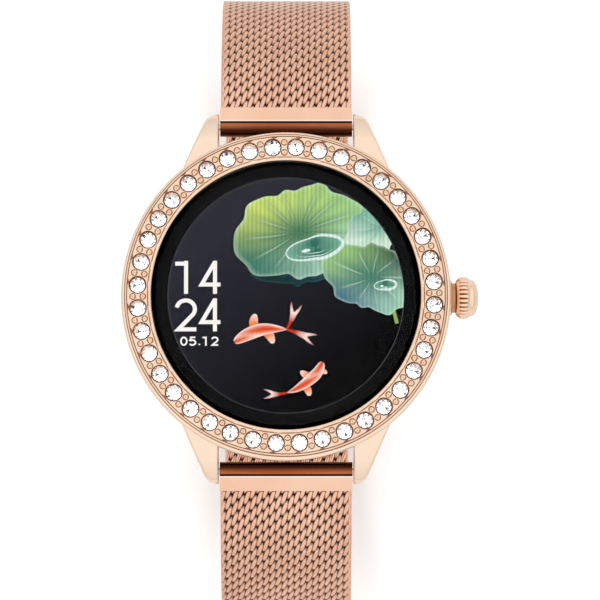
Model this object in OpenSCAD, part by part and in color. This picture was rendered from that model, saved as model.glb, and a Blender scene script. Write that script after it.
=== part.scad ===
// Round smartwatch with a stone-set bezel and a woven mesh strap, closed as a loop.
// Millimetres. The display faces +Z, the crown is at +X and 12 o'clock is at +Y.
// The origin is the centre of the wrist face, the flat outer face of the sensor window.
// The upper strap half is the one at 12 o'clock, and the lower half is at 6 o'clock.

/* [Case] */
// Height from the wrist face to the top of the bezel
case_h = 11.0; // [11:0.1:12]
// Radius of the widest band of the case
case_r = 22.2; // [22.1:0.1:22.8]
// Outer radius of the bezel
bezel_r = 21.75; // [21.6:0.05:21.9]
// Radius of the cover glass
glass_r = 18.05; // [17.9:0.05:18.05]
// Number of stones on the bezel
stone_count = 40; // [20:1:40]
// Radius of the circle of stones
stone_ring_r = 19.95; // [19.9:0.05:20]
// Diameter of a stone
stone_d = 2.1; // [1.8:0.1:2.1]

/* [Crown] */
// Diameter of the crown knob
crown_d = 5.7; // [5.2:0.1:6]
// How far the outer end of the crown stands from the case axis
crown_x = 26.0; // [25.8:0.1:27]
// Height of the crown axis above the wrist face
crown_z = 5.6; // [5.5:0.1:5.7]
// Number of ribs around the crown
crown_ribs = 28; // [16:1:32]
// Travel of the crown when pressed
crown_travel = 0.5; // [0.3:0.1:0.5]

/* [Strap] */
// Gap between two lugs
lug_gap = 18.2; // [18.1:0.1:18.6]
// Width of the mesh
mesh_w = 17.8; // [17:0.1:17.9]
// Thickness of the mesh
mesh_t = 1.4; // [1.2:0.1:1.4]
// Distance of a spring bar from the case axis
bar_y = 23.35; // [23.3:0.05:23.6]
// Height of a spring bar above the wrist face
bar_z = 4.4; // [4.2:0.1:4.5]
// Slope of the mesh where it leaves the lugs
mesh_slope = 12; // [8:1:16]
// Half-width of the closed loop at the middle of the mesh
loop_y = 43.2; // [41:0.2:44]
// Depth of the mesh under the wrist face at the clasp
loop_depth = 38.5; // [36:0.5:40]

/* [Clasp] */
// Half-width of the clasp frame
clasp_x = 9.7; // [9.6:0.1:10]
// Radius of the clasp's hinge pins
pin_r = 0.4; // [0.35:0.05:0.4]

/* [Hidden] */
$fn = 96;

// A cut runs this far past the face that it opens
past = 1;
// Slip clearance between two round parts that turn or slide in each other
slip = 0.05;
// Clearance between parts that are seated in each other
seat = 0.02;

rose_gold = [0.93, 0.73, 0.62];
bright_gold = [0.97, 0.82, 0.72];
steel = [0.8, 0.8, 0.82];
black_plastic = [0.08, 0.08, 0.09];
board_green = [0.06, 0.28, 0.18];

// Heights in the case, from the wrist face up
back_z = 0.5;
back_t = 1.0;
back_r = 18.9;
ledge_r = 17.6;
ledge_z = 2.2;
cavity_r = 18.6;
seam_z = case_h - 2.0;
spigot_z = seam_z - 0.6;
spigot_r = 17.45;
glass_z = case_h - 1.2;
glass_t = 0.95;
pave_z = case_h - 0.3;
groove_w = 0.1;
groove_t = 0.15;
lip_w = 0.45;
rim_w = 0.45;

// Stones and setting beads
stone_pitch = 360 / stone_count;
stone_phase = 86.17;
stone_r = stone_d / 2;
stone_z = pave_z - 0.04;
seat_clear = 0.07;
seat_depth = 0.95;
bead_r = 0.38;
bead_z = case_h - bead_r;
bead_out = 0.62;
bead_in = 0.75;

// Lugs
lug_x = lug_gap / 2;
lug_root_y = 14;
lug_foot_z = 1.3;
nose_r = 1.8;
lug_top_y = 13.9;
lug_top_z = -7.2;
nose_reach = sqrt((bar_y - lug_top_y) ^ 2 + (bar_z - lug_top_z) ^ 2);
lug_top_r = nose_reach + nose_r;
tip_r = 2.15;
tip_x = lug_x + 0.05;
tip_y = bar_y - 0.4;
flank_slope = 0.434;
flank_a = atan(flank_slope);
lug_end_r = 0.4;
lug_hole_l = 1.2;

// Case back screws
boss_ring_r = 16.9;
boss_r = 1.5;
boss_z = 4.0;
screw_r = 0.6;
screw_head_r = 1.1;
screw_head_t = 0.45;
screw_l = 2.8;

// Sensor window in the middle of the case back
window_r = 9.0;
window_t = 0.85;
window_hole_r = 7.2;
pad_x = 1.4;
pad_y = -13;
pad_r = 0.9;

// Inner parts
frame_z = 5.75;
frame_t = 0.4;
board_z = 6.2;
board_t = 0.7;
board_r = 16.6;
display_r = 17.2;
display_z = case_h - 2.7;
notch_x = 15;
notch_w = 7;
battery_size = [20, 16.5, 3.5];
battery_at = [-2, 1.6, 2.1];
motor_at = [3.5, -12.4, 2.3];
antenna_a = 110;

// Crown parts along X
tube_r = 1.49;
stem_r = 0.7;
stem_square = 0.96;
wheel_x = 17.6;
wheel_t = 0.7;
wheel_r = 1.6;
wheel_slots = 8;
stem_x = 17.3;
stem_round_x = 18.95;
clip_x = 19.05;
clip_t = 0.25;
tube_x = 19.35;
spot_x = 21.7;
flange_r = 2.4;
flange_x = 22.35;
neck_r = 2.0;
neck_x = 23.2;
knob_x = 22.9;
cap_x = crown_x - 0.95;
cap_r = crown_d / 2 - 0.4;

// Spring bars along X, seen from the upper half
bar_tube_r = 0.75;
bar_tube_x = 8.9;
bar_bore_r = 0.62;
tip_pin_r = 0.4;
pin_end_x = 10.1;
collar_x = [4.5, 6.5];
thumb_x = 5.5;
thumb_r = 0.45;
thumb_l = 2.1;
release_travel = 1.3;
bore_from_x = -4.2;
tip_seat_x = 7.5;
cap_seat_x = 8.3;
coil_turns = 9;
coil_wire_r = 0.09;

// End pieces and the run of the mesh
end_w = lug_gap - 0.3;
knuckle_r = 1.45;
plate_l = 2.55;
plate_t = 2.0;
mesh_start = 2.0;
mesh_y0 = bar_y + mesh_start * cos(mesh_slope);
mesh_z0 = bar_z - mesh_start * sin(mesh_slope);
arc_r = (loop_y - mesh_y0) / (1 - sin(mesh_slope));
side_z = mesh_z0 - arc_r * cos(mesh_slope);
clasp_z = -loop_depth + mesh_t / 2;

// Clasp heights outward from the wrist side of the lower mesh
upper_h = 1.55;
ring_h = 1.6;
ring_t = 1.0;
wall_h = 3.0;
base_h = -0.85;
base_t = 0.7;
cover_h = 3.1;
cover_t = 0.8;
ear_x = 8.9;
ear_t = 0.8;
lip_h = 1.65;
hinge_h = 2.3;
cover_pin_y = -7.2;
lock_pin_y = -13.6;
frame_y = [-14.6, 3.3];
cover_y = [-7.6, 8.0];
cover_wide_y = -6.2;
lip_t = 0.8;
lip_x = 7;
wall_x = 9.05;
lock_y = -9.1;
lower_tail_y = 11.0;
upper_tail_y = 9.3;
ring_y = [3.9, 9.3];
ring_window_y = [4.8, 8.4];
ring_window_x = 7.9;

// ---- helpers ----

module band(r_out, r_in, z, h)
  translate([0, 0, z]) difference() {
    cylinder(r = r_out, h = h);
    translate([0, 0, -past]) cylinder(r = r_in, h = h + 2 * past);
  }

// A round bar along X, with the seam of its surface on top
module rod_x(r, x0, x1)
  translate([x0, 0, 0]) rotate([0, 90, 0]) rotate([0, 0, 180]) cylinder(r = r, h = x1 - x0);

// A block from one corner to the opposite one
module block(a, b)
  translate(a) cube(b - a);

// An outline drawn in Y and Z, pushed along X over a centred width
module across(w)
  translate([-w / 2, 0, 0]) rotate([90, 0, 90]) linear_extrude(w) children();

module at_corners() {
  children();
  mirror([1, 0, 0]) children();
  mirror([0, 1, 0]) children();
  rotate([0, 0, 180]) children();
}

module at_bar()
  translate([0, bar_y, bar_z]) children();

module at_crown()
  translate([0, 0, crown_z]) children();

module at_stones(offset = 0)
  for (i = [0 : stone_count - 1])
    rotate([0, 0, stone_phase + offset - i * stone_pitch]) children();

// The clasp is drawn with its outward side up
module at_clasp()
  translate([0, 0, clasp_z]) mirror([0, 0, 1]) children();

// Points along an arc about c, from angle a0 to a1 in n steps
function arc_points(c, r, a0, a1, n) =
  [for (i = [0 : n]) let (a = a0 + (a1 - a0) * i / n) c + r * [cos(a), sin(a)]];

module rounded_plate(w, l, t, r)
  linear_extrude(t) {
    square([w - 2 * r, l], center = true);
    square([w, l - 2 * r], center = true);
    for (x = [-1, 1], y = [-1, 1]) translate([x * (w / 2 - r), y * (l / 2 - r)]) circle(r = r);
  }

// ---- case ----

module lug_plan() {
  touch = [tip_x, tip_y] + tip_r * [cos(flank_a), sin(flank_a)];
  root_x = touch[0] + (touch[1] - lug_root_y) * flank_slope;
  polygon(concat(
    [[lug_x, lug_root_y], [root_x, lug_root_y]],
    arc_points([tip_x, tip_y], tip_r, flank_a, 90, 12),
    [[lug_x, tip_y + tip_r]]
  ));
}

module lug_side() {
  top = [lug_top_y, lug_top_z];
  touch_a = atan2(bar_z - lug_top_z, bar_y - lug_top_y);
  root_a = acos((lug_root_y - lug_top_y) / lug_top_r);
  polygon(concat(
    [[lug_root_y, lug_foot_z]],
    arc_points([bar_y, bar_z], nose_r, -90, touch_a, 24),
    arc_points(top, lug_top_r, touch_a + 2, root_a, 18)
  ));
}

module lug()
  intersection() {
    linear_extrude(seam_z - 0.55) lug_plan();
    across(2 * case_r) lug_side();
  }

module case_middle() color(rose_gold) difference() {
  union() {
    rotate_extrude($fn = 180) polygon([
      [ledge_r, 0.9], [19.3, 0.9], [20.1, 1.5], [20.9, 3.1], [21.45, 4.9],
      [case_r - 0.25, 6.5], [case_r, 7.3], [case_r, seam_z - 0.4], [case_r - 0.1, seam_z - 0.15],
      [case_r - 0.35, seam_z], [ledge_r, seam_z]
    ]);
    at_corners() lug();
  }
  difference() {
    rotate_extrude($fn = 180) polygon([
      [0, -past], [back_r + slip, -past], [back_r + slip, back_z + back_t],
      [ledge_r + 0.8, back_z + back_t], [ledge_r + 0.8, back_z + back_t + 0.4],
      [ledge_r + 0.3, back_z + back_t + 0.4], [ledge_r + 0.3, back_z + back_t],
      [ledge_r, back_z + back_t], [ledge_r, ledge_z], [cavity_r, ledge_z],
      [cavity_r, case_h], [0, case_h]
    ]);
    for (a = [45 : 90 : 315]) rotate([0, 0, a]) translate([boss_ring_r, 0, back_z + back_t])
      cylinder(r = boss_r, h = boss_z - back_z - back_t);
  }
  for (a = [45 : 90 : 315]) rotate([0, 0, a]) translate([boss_ring_r, 0, 0])
    cylinder(r = screw_r + seat, h = boss_z - lug_end_r);
  at_crown() rotate([0, 90, 0]) rotate_extrude() polygon([
    [0, cavity_r - past], [tube_r + 0.01, cavity_r - past], [tube_r + 0.01, spot_x],
    [flange_r + 0.1, spot_x], [flange_r + 0.1, case_r + past], [0, case_r + past]
  ]);
  at_corners() at_bar() rod_x(tip_pin_r + slip, lug_x - past, lug_x + lug_hole_l);
}

module bezel_ring() color(bright_gold) {
  lip_r = glass_r + slip;
  pave_r = lip_r + lip_w + groove_w;
  rim_r = bezel_r - rim_w;
  difference() {
    rotate_extrude($fn = 180) polygon([
      [spigot_r, spigot_z], [cavity_r - slip, spigot_z], [cavity_r - slip, seam_z],
      [bezel_r - 0.25, seam_z], [bezel_r, seam_z + 0.25], [bezel_r, case_h - 0.65],
      [bezel_r - 0.15, case_h - 0.4], [rim_r + groove_w, pave_z],
      [rim_r + groove_w, pave_z - groove_t], [rim_r, pave_z - groove_t], [rim_r, pave_z],
      [pave_r, pave_z], [pave_r, pave_z - groove_t], [lip_r + lip_w, pave_z - groove_t],
      [lip_r + lip_w, case_h - 0.12], [lip_r + lip_w - 0.12, case_h], [lip_r + 0.1, case_h],
      [lip_r, case_h - 0.1], [lip_r, glass_z - 0.25], [spigot_r, glass_z - 0.25]
    ]);
    at_stones() translate([stone_ring_r, 0, pave_z - seat_depth])
      cylinder(r = stone_r + seat_clear, h = case_h, $fn = 32);
  }
  at_stones(stone_pitch / 2) for (d = [bead_out, -bead_in])
    translate([stone_ring_r + d, 0, bead_z]) sphere(r = bead_r, $fn = 24);
}

// Each stone is a cone under a thin girdle, with a sloped crown and a flat table
module bezel_stones() color([0.95, 0.95, 0.97])
  at_stones() translate([stone_ring_r, 0, stone_z])
    rotate_extrude($fn = 24) polygon([
      [0, -0.85], [stone_r, -0.06], [stone_r, 0.06], [0.6 * stone_r, 0.42], [0, 0.42]
    ]);

module cover_glass() color([0.1, 0.1, 0.12])
  rotate_extrude($fn = 180) polygon([
    [0, glass_z], [glass_r, glass_z], [glass_r, glass_z + glass_t - 0.3],
    [glass_r - 0.1, glass_z + glass_t - 0.1], [glass_r - 0.35, glass_z + glass_t],
    [0, glass_z + glass_t]
  ]);

module display_gasket() color(black_plastic)
  band(glass_r - slip, spigot_r + slip, glass_z - 0.25, 0.25);

module display_module() color([0.05, 0.05, 0.07])
  translate([0, 0, display_z]) cylinder(r = display_r, h = glass_z - display_z);

module display_flex() color([0.85, 0.5, 0.15]) {
  block([-4, -16.4, board_z + board_t], [4, -14.5, board_z + board_t + 0.15]);
  block([-4, -16.4, board_z + board_t], [4, -16.2, display_z]);
  block([-4, -16.4, display_z - 0.2], [4, -12.5, display_z]);
}

module crown_notch()
  block([notch_x, -notch_w / 2, 0], [case_r, notch_w / 2, display_z]);

module mid_frame() color(black_plastic) difference() {
  union() {
    translate([0, 0, frame_z]) cylinder(r = cavity_r - slip, h = frame_t);
    band(cavity_r - slip, 17.3, frame_z, display_z - frame_z - 0.1);
  }
  translate([0, 0, spigot_z - 0.1]) band(cavity_r + past, spigot_r - 0.1, 0, past);
  crown_notch();
}

module radio_antenna() color([0.8, 0.6, 0.2])
  rotate([0, 0, 120]) rotate_extrude(angle = antenna_a) translate([17.1, 6.6]) square([0.2, 1.4]);

module main_board() color(board_green) difference() {
  translate([0, 0, board_z]) cylinder(r = board_r, h = board_t);
  crown_notch();
}

module processor_shield() color(steel) translate([-6, 2, board_z + board_t]) difference() {
  block([-6, -5, 0], [6, 5, 1.2]);
  block([-5.8, -4.8, -past], [5.8, 4.8, 1.05]);
}

module board_chips() color([0.12, 0.12, 0.13]) translate([0, 0, board_z + board_t]) {
  for (c = [[-8.5, 2, 5], [-3, 4, 3], [4, 7, 4], [9, 2, 3.2], [5, -4, 4.4], [-4, -10, 3.6]])
    translate([c[0] - c[2] / 2, c[1] - c[2] / 2, 0]) cube([c[2], c[2], 0.8]);
}

module battery() color([0.75, 0.76, 0.8])
  translate(battery_at) rounded_plate(battery_size[0], battery_size[1], battery_size[2], 1.5);

module vibration_motor() color(steel)
  translate(motor_at) cylinder(r = 4, h = 2.7);

module case_back() color(rose_gold) difference() {
  rotate_extrude($fn = 180) polygon([
    [0, back_z], [16.5, back_z], [back_r, back_z + 0.35], [back_r, back_z + back_t],
    [0, back_z + back_t]
  ]);
  translate([0, 0, -past]) cylinder(r = window_r + slip, h = past + window_t + seat);
  cylinder(r = window_hole_r, h = case_h);
  for (a = [45 : 90 : 315]) rotate([0, 0, a]) translate([boss_ring_r, 0, 0]) {
    cylinder(r = screw_r + 0.1, h = case_h);
    cylinder(r = screw_head_r + slip, h = back_z + screw_head_t + 0.05);
  }
  for (x = [-1, 1]) translate([x * pad_x, pad_y, 0]) cylinder(r = pad_r + seat, h = case_h);
}

module back_gasket() color(black_plastic)
  band(ledge_r + 0.78, ledge_r + 0.32, back_z + back_t, 0.38);

module back_screws() color(steel)
  for (a = [45 : 90 : 315]) rotate([0, 0, a]) translate([boss_ring_r, 0, back_z + 0.05])
    difference() {
      union() {
        cylinder(r = screw_head_r, h = screw_head_t);
        cylinder(r = screw_r, h = screw_l);
      }
      block([-screw_head_r, -0.15, -past], [screw_head_r, 0.15, 0.2]);
    }

module sensor_window() color([0.05, 0.05, 0.06])
  rotate_extrude($fn = 120) polygon([
    [0, 0], [window_r - 0.5, 0], [window_r, 0.35], [window_r, window_t], [0, window_t]
  ]);

module sensor_board() color(board_green)
  translate([0, 0, 1.3]) cylinder(r = window_hole_r - 0.2, h = 0.5);

module sensor_leds() color([0.6, 0.9, 0.6]) {
  block([-1.2, -1.2, 0.9], [1.2, 1.2, 1.3]);
  for (y = [-3.6, 3.6]) block([-1, y - 1, 0.9], [1, y + 1, 1.3]);
}

module charge_pads() color([0.9, 0.75, 0.35])
  for (x = [-1, 1]) translate([x * pad_x, pad_y, back_z - 0.05]) cylinder(r = pad_r, h = 1.3);

// ---- crown ----

module crown_tube() color(rose_gold) at_crown() difference() {
  union() {
    rod_x(tube_r, tube_x, spot_x);
    rod_x(flange_r, spot_x, flange_x);
    rod_x(neck_r, spot_x, neck_x);
  }
  rod_x(stem_r + slip, tube_x - past, neck_x + past);
  rod_x(1.2, neck_x - 0.65, neck_x + past);
}

module crown_seal() color(black_plastic)
  at_crown() translate([neck_x - 0.4, 0, 0]) rotate([0, 90, 0])
    rotate_extrude($fn = 48) translate([stem_r + 0.26, 0]) circle(r = 0.21, $fn = 24);

module encoder_wheel() color([0.3, 0.3, 0.32]) at_crown() difference() {
  rod_x(wheel_r, wheel_x, wheel_x + wheel_t);
  block([wheel_x - past, -0.55, -0.55], [wheel_x + past, 0.55, 0.55]);
  for (i = [0 : wheel_slots - 1]) rotate([i * 360 / wheel_slots, 0, 0])
    block([wheel_x - past, -0.15, 1.0], [wheel_x + past, 0.15, 2]);
}

module crown_stem() color(steel) at_crown() {
  half = stem_square / 2;
  block([stem_x, -half, -half], [stem_round_x, half, half]);
  rod_x(stem_r, stem_round_x, knob_x + 2.1);
}

module crown_clip() color(steel) at_crown() difference() {
  rod_x(1.25, clip_x, clip_x + clip_t);
  rod_x(stem_r, clip_x - past, clip_x + past);
  block([clip_x - past, -0.3, 0], [clip_x + past, 0.3, 2]);
}

module crown_knob() color(rose_gold) at_crown() difference() {
  knob_r = crown_d / 2;
  cap_h = crown_x - cap_x;
  dome_r = (cap_r ^ 2 + cap_h ^ 2) / (2 * cap_h);
  dome_a = asin(cap_r / dome_r);
  rotate([0, 90, 0]) rotate_extrude() polygon(concat(
    [
      [neck_r + 0.15, knob_x], [knob_r - 0.15, knob_x], [knob_r, knob_x + 0.15],
      [knob_r, cap_x - 0.3], [knob_r - 0.15, cap_x - 0.15], [cap_r - 0.1, cap_x - 0.15],
      [cap_r - 0.1, cap_x]
    ],
    arc_points([0, crown_x - dome_r], dome_r, 90 - dome_a, 90, 10),
    [[0, knob_x + 2.1], [stem_r, knob_x + 2.1], [stem_r, knob_x + 1], [neck_r + 0.15, knob_x + 1]]
  ));
  for (i = [0 : crown_ribs - 1]) rotate([(i + 0.5) * 360 / crown_ribs, 0, 0])
    translate([0, 0, knob_r + 0.08]) rod_x(0.24, knob_x - past, cap_x + past, $fn = 16);
}

module crown_switch() color(steel) at_crown() {
  block([15.9, -1.7, -1.6], [16.6, 1.7, 1.6]);
  rod_x(0.6, 16.6, stem_x - crown_travel - 0.05);
}

// ---- straps, drawn at 12 o'clock and mirrored to 6 o'clock ----

// The slot that the thumb knob of a release pin slides in
module thumb_slot(gap)
  block([thumb_x - release_travel - thumb_r - gap, -thumb_r - gap, -2 * knuckle_r],
    [thumb_x + thumb_r + gap, thumb_r + gap, 0]);

module end_piece() color(bright_gold) at_bar() difference() {
  union() {
    rod_x(knuckle_r, -end_w / 2, end_w / 2);
    rotate([-mesh_slope, 0, 0])
      block([-mesh_w / 2, 0, -plate_t / 2], [mesh_w / 2, plate_l, plate_t / 2]);
  }
  rod_x(bar_tube_r + 0.03, -end_w, end_w);
  rotate([-mesh_slope, 0, 0])
    block([-end_w, mesh_start - seat, -mesh_t / 2 - seat], [end_w, 2 * plate_l, mesh_t / 2 + seat]);
  thumb_slot(0.1);
}

module bar_tube() color(steel) at_bar() difference() {
  rod_x(bar_tube_r, -bar_tube_x, bar_tube_x);
  rod_x(bar_bore_r, bore_from_x, cap_seat_x);
  rod_x(tip_pin_r + slip, cap_seat_x - past, bar_tube_x + past);
  rod_x(tip_pin_r + 0.01, -bar_tube_x - past, -tip_seat_x);
  thumb_slot(0.05);
}

module bar_tip() color(steel) at_bar()
  rod_x(tip_pin_r, -pin_end_x, -tip_seat_x);

module release_pin() color(steel) at_bar() {
  rod_x(bar_bore_r - slip, collar_x[0], collar_x[1]);
  rod_x(tip_pin_r, collar_x[1], pin_end_x);
  translate([thumb_x, 0, -thumb_l]) cylinder(r = thumb_r - 0.05, h = thumb_l);
}

function coil_point(t) = let (a = 360 * coil_turns * t) [
  bore_from_x + 0.15 + (collar_x[0] - bore_from_x - 0.3) * t, 0.45 * cos(a), 0.45 * sin(a)
];
function coil_out(t) = let (a = 360 * coil_turns * t) [0, cos(a), sin(a)];

// A round wire wound along X, in steps of a twelfth of a turn
module bar_spring() color(steel) at_bar() {
  steps = 12 * coil_turns;
  sides = 6;
  rings = [for (i = [0 : steps]) for (k = [0 : sides - 1]) let (a = 360 * k / sides)
    coil_point(i / steps) + coil_wire_r * (cos(a) * coil_out(i / steps) + sin(a) * [1, 0, 0])];
  walls = [for (i = [0 : steps - 1]) for (k = [0 : sides - 1]) let (n = (k + 1) % sides)
    [i * sides + k, i * sides + n, (i + 1) * sides + n, (i + 1) * sides + k]];
  first = [for (k = [sides - 1 : -1 : 0]) k];
  last = [for (k = [0 : sides - 1]) steps * sides + k];
  polyhedron(points = rings, faces = concat(walls, [first, last]), convexity = 8);
}

// The mesh leaves the end piece, runs round the side of the wrist and ends flat at the clasp.
// h is how far the flat end lies outside the lower mesh, and tail is where it ends.
module mesh_run(h, tail) color(rose_gold) {
  half = mesh_t / 2;
  step = 3;
  drop_r = side_z + loop_depth + h;
  high = [loop_y - arc_r, side_z];
  low = [loop_y - drop_r, side_z];
  end_z = side_z - drop_r;
  across(mesh_w) polygon(concat(
    arc_points(high, arc_r + half, 90 - mesh_slope, step, 25),
    arc_points(low, drop_r + half, 0, -90, 30),
    [[tail, end_z - half], [tail, end_z + half]],
    arc_points(low, drop_r - half, -90, 0, 30),
    arc_points(high, arc_r - half, step, 90 - mesh_slope, 25)
  ));
}

module upper_end_piece() end_piece();
module upper_bar_tube() bar_tube();
module upper_bar_tip() bar_tip();
module upper_release_pin() release_pin();
module upper_bar_spring() bar_spring();
module upper_mesh() mesh_run(upper_h, upper_tail_y);

module lower_end_piece() mirror([0, 1, 0]) end_piece();
module lower_bar_tube() mirror([0, 1, 0]) bar_tube();
module lower_bar_tip() mirror([0, 1, 0]) bar_tip();
module lower_release_pin() mirror([0, 1, 0]) release_pin();
module lower_bar_spring() mirror([0, 1, 0]) bar_spring();
module lower_mesh() mirror([0, 1, 0]) mesh_run(0, -lower_tail_y);

// ---- clasp ----

// The open ring on the upper half that the cover's lip hooks into
module end_ring() color(bright_gold) at_clasp() difference() {
  union() {
    block([-mesh_w / 2, ring_y[0], ring_h], [mesh_w / 2, ring_y[1], ring_h + ring_t]);
    block([-mesh_w / 2, ring_window_y[1], ring_h], [mesh_w / 2, ring_y[1], upper_h + mesh_t + 0.3]);
    block([-mesh_w / 2, ring_window_y[1], upper_h + mesh_t], [mesh_w / 2, 11.2, upper_h + mesh_t + 0.3]);
  }
  block([-ring_window_x, ring_window_y[0], 0], [ring_window_x, ring_window_y[1], cover_h]);
}

module clasp_frame() color(bright_gold) at_clasp() difference() {
  union() {
    block([-clasp_x, frame_y[0], base_h], [clasp_x, frame_y[1], base_h + base_t]);
    for (x = [-clasp_x, wall_x])
      block([x, frame_y[0], base_h], [x + clasp_x - wall_x, frame_y[1], wall_h]);
    block([-clasp_x, -1.2, mesh_t + 0.1], [clasp_x, frame_y[1], mesh_t + 0.8]);
  }
  for (y = [cover_pin_y, lock_pin_y]) translate([0, y, hinge_h])
    rod_x(pin_r + 0.01, -clasp_x - past, clasp_x + past);
}

// The cover is narrower beside its hinge, where it turns down between the frame's walls
module clasp_cover() color(bright_gold) at_clasp() difference() {
  union() {
    block([-clasp_x, cover_wide_y, cover_h], [clasp_x, cover_y[1], cover_h + cover_t]);
    block([-ear_x, cover_y[0], cover_h], [ear_x, cover_wide_y + past, cover_h + cover_t]);
    block([-lip_x, cover_y[1] - lip_t, lip_h], [lip_x, cover_y[1], cover_h + cover_t]);
    for (x = [-ear_x, ear_x - ear_t]) {
      translate([0, cover_pin_y, hinge_h]) rod_x(2 * pin_r, x, x + ear_t);
      block([x, cover_y[0], hinge_h], [x + ear_t, cover_pin_y + 2 * pin_r, cover_h]);
    }
  }
  translate([0, cover_pin_y, hinge_h]) rod_x(pin_r + slip, -clasp_x, clasp_x);
}

module cover_pin() color(steel)
  at_clasp() translate([0, cover_pin_y, hinge_h]) rod_x(pin_r, -clasp_x, clasp_x);

module clasp_lock() color(bright_gold) at_clasp() difference() {
  union() {
    translate([0, lock_pin_y, hinge_h]) rod_x(0.7, -ear_x, ear_x);
    block([-ear_x, lock_pin_y, ring_h], [ear_x, lock_y, ring_h + 0.7]);
  }
  translate([0, lock_pin_y, hinge_h]) rod_x(pin_r + slip, -clasp_x, clasp_x);
  block([-2.5, lock_y - 0.5, 0], [2.5, lock_y + past, cover_h]);
}

module lock_pin() color(steel)
  at_clasp() translate([0, lock_pin_y, hinge_h]) rod_x(pin_r, -clasp_x, clasp_x);

case_middle();
bezel_ring();
bezel_stones();
cover_glass();
display_gasket();
display_module();
display_flex();
mid_frame();
radio_antenna();
main_board();
processor_shield();
board_chips();
battery();
vibration_motor();
case_back();
back_gasket();
back_screws();
sensor_window();
sensor_board();
sensor_leds();
charge_pads();
crown_tube();
crown_seal();
encoder_wheel();
crown_stem();
crown_clip();
crown_knob();
crown_switch();
upper_end_piece();
upper_bar_tube();
upper_bar_tip();
upper_release_pin();
upper_bar_spring();
lower_end_piece();
lower_bar_tube();
lower_bar_tip();
lower_release_pin();
lower_bar_spring();
upper_mesh();
lower_mesh();
end_ring();
clasp_frame();
clasp_cover();
cover_pin();
clasp_lock();
lock_pin();
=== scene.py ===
import random
from math import atan, cos, hypot, pi, radians, sin, sqrt

import bmesh
import bpy
import numpy as np
from mathutils import Matrix, Vector


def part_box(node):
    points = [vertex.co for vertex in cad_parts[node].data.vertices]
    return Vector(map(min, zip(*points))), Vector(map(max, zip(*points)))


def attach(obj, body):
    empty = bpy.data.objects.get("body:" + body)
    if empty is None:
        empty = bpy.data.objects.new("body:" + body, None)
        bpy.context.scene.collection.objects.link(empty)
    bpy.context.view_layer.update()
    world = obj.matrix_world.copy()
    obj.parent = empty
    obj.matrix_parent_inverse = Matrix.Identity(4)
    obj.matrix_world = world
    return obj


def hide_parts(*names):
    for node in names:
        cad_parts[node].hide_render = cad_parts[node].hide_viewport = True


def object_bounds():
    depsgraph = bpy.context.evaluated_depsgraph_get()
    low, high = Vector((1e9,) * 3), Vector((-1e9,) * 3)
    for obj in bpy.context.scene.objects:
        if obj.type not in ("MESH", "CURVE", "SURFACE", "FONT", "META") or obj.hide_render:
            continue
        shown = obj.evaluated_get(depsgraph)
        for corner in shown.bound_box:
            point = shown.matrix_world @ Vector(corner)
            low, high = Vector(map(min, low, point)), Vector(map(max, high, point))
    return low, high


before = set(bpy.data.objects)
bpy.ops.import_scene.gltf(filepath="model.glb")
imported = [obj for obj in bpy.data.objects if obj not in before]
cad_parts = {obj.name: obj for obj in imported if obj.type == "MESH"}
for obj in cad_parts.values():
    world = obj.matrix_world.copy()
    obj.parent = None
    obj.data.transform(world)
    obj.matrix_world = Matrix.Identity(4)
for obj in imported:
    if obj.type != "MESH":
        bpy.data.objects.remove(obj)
cad_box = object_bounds()

# Lengths in this script are millimetres, and become metres when a mesh is made
MM = 0.001
TAU = 2 * pi
scene = bpy.context.scene


def low(node):
    """The least x, y and z of a CAD node."""
    return [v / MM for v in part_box(node)[0]]


def high(node):
    """The greatest x, y and z of a CAD node."""
    return [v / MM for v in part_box(node)[1]]


def middle(node, axis):
    return (high(node)[axis] + low(node)[axis]) / 2


# ---- sizes, from the CAD nodes ----

CASE_R = high("case_middle")[0]
SEAM_Z = high("case_middle")[2]
BEZEL_R = high("bezel_ring")[0]
BEZEL_TOP = high("bezel_ring")[2]
GLASS_R = high("cover_glass")[0]
GLASS_Z = low("cover_glass")[2]
GLASS_TOP = high("cover_glass")[2]
STONE_TOP = high("bezel_stones")[2]
STONE_TIP = low("bezel_stones")[2]
DISPLAY_R = high("display_module")[0]
DISPLAY_Z = low("display_module")[2]
CROWN_X = high("crown_knob")[0]
KNOB_X = low("crown_knob")[0]
KNOB_R = (high("crown_knob")[2] - low("crown_knob")[2]) / 2
CROWN_Z = middle("crown_knob", 2)
BAR_Y = middle("upper_bar_tube", 1)
BAR_Z = middle("upper_bar_tube", 2)
KNUCKLE_R = BAR_Y - low("upper_end_piece")[1]
END_HALF = high("upper_end_piece")[0]
MESH_HALF = high("upper_mesh")[0]
BAND_OUT = 0.7  # from the middle line of the CAD band to its outside
LOOP_Y = high("upper_mesh")[1] - BAND_OUT

STONES = 40
STONE_PITCH = TAU / STONES
STONE_FIRST = radians(86.17)
STONE_RING = 19.95
STONE_R = 1.05
STONE_SINK = 0.04  # from the set face down to the girdle
SEAT_R = 1.12
BEAD_R = 0.38
BEAD_MOAT = 0.075


# ---- materials ----

def shader(name, **inputs):
    """A material, its nodes and its main shader with these inputs, named with _ for a space."""
    mat = bpy.data.materials.new(name)
    mat.use_nodes = True
    tree = mat.node_tree
    bsdf = tree.nodes["Principled BSDF"]
    for key, value in inputs.items():
        bsdf.inputs[key.replace("_", " ")].default_value = value
    return mat, tree, bsdf


def add_node(tree, kind, **values):
    """A node with its settings, and its inputs by name with _ for a space."""
    node = tree.nodes.new(kind)
    for key, value in values.items():
        if hasattr(node, key):
            setattr(node, key, value)
        else:
            node.inputs[key.replace("_", " ")].default_value = value
    return node


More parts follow.
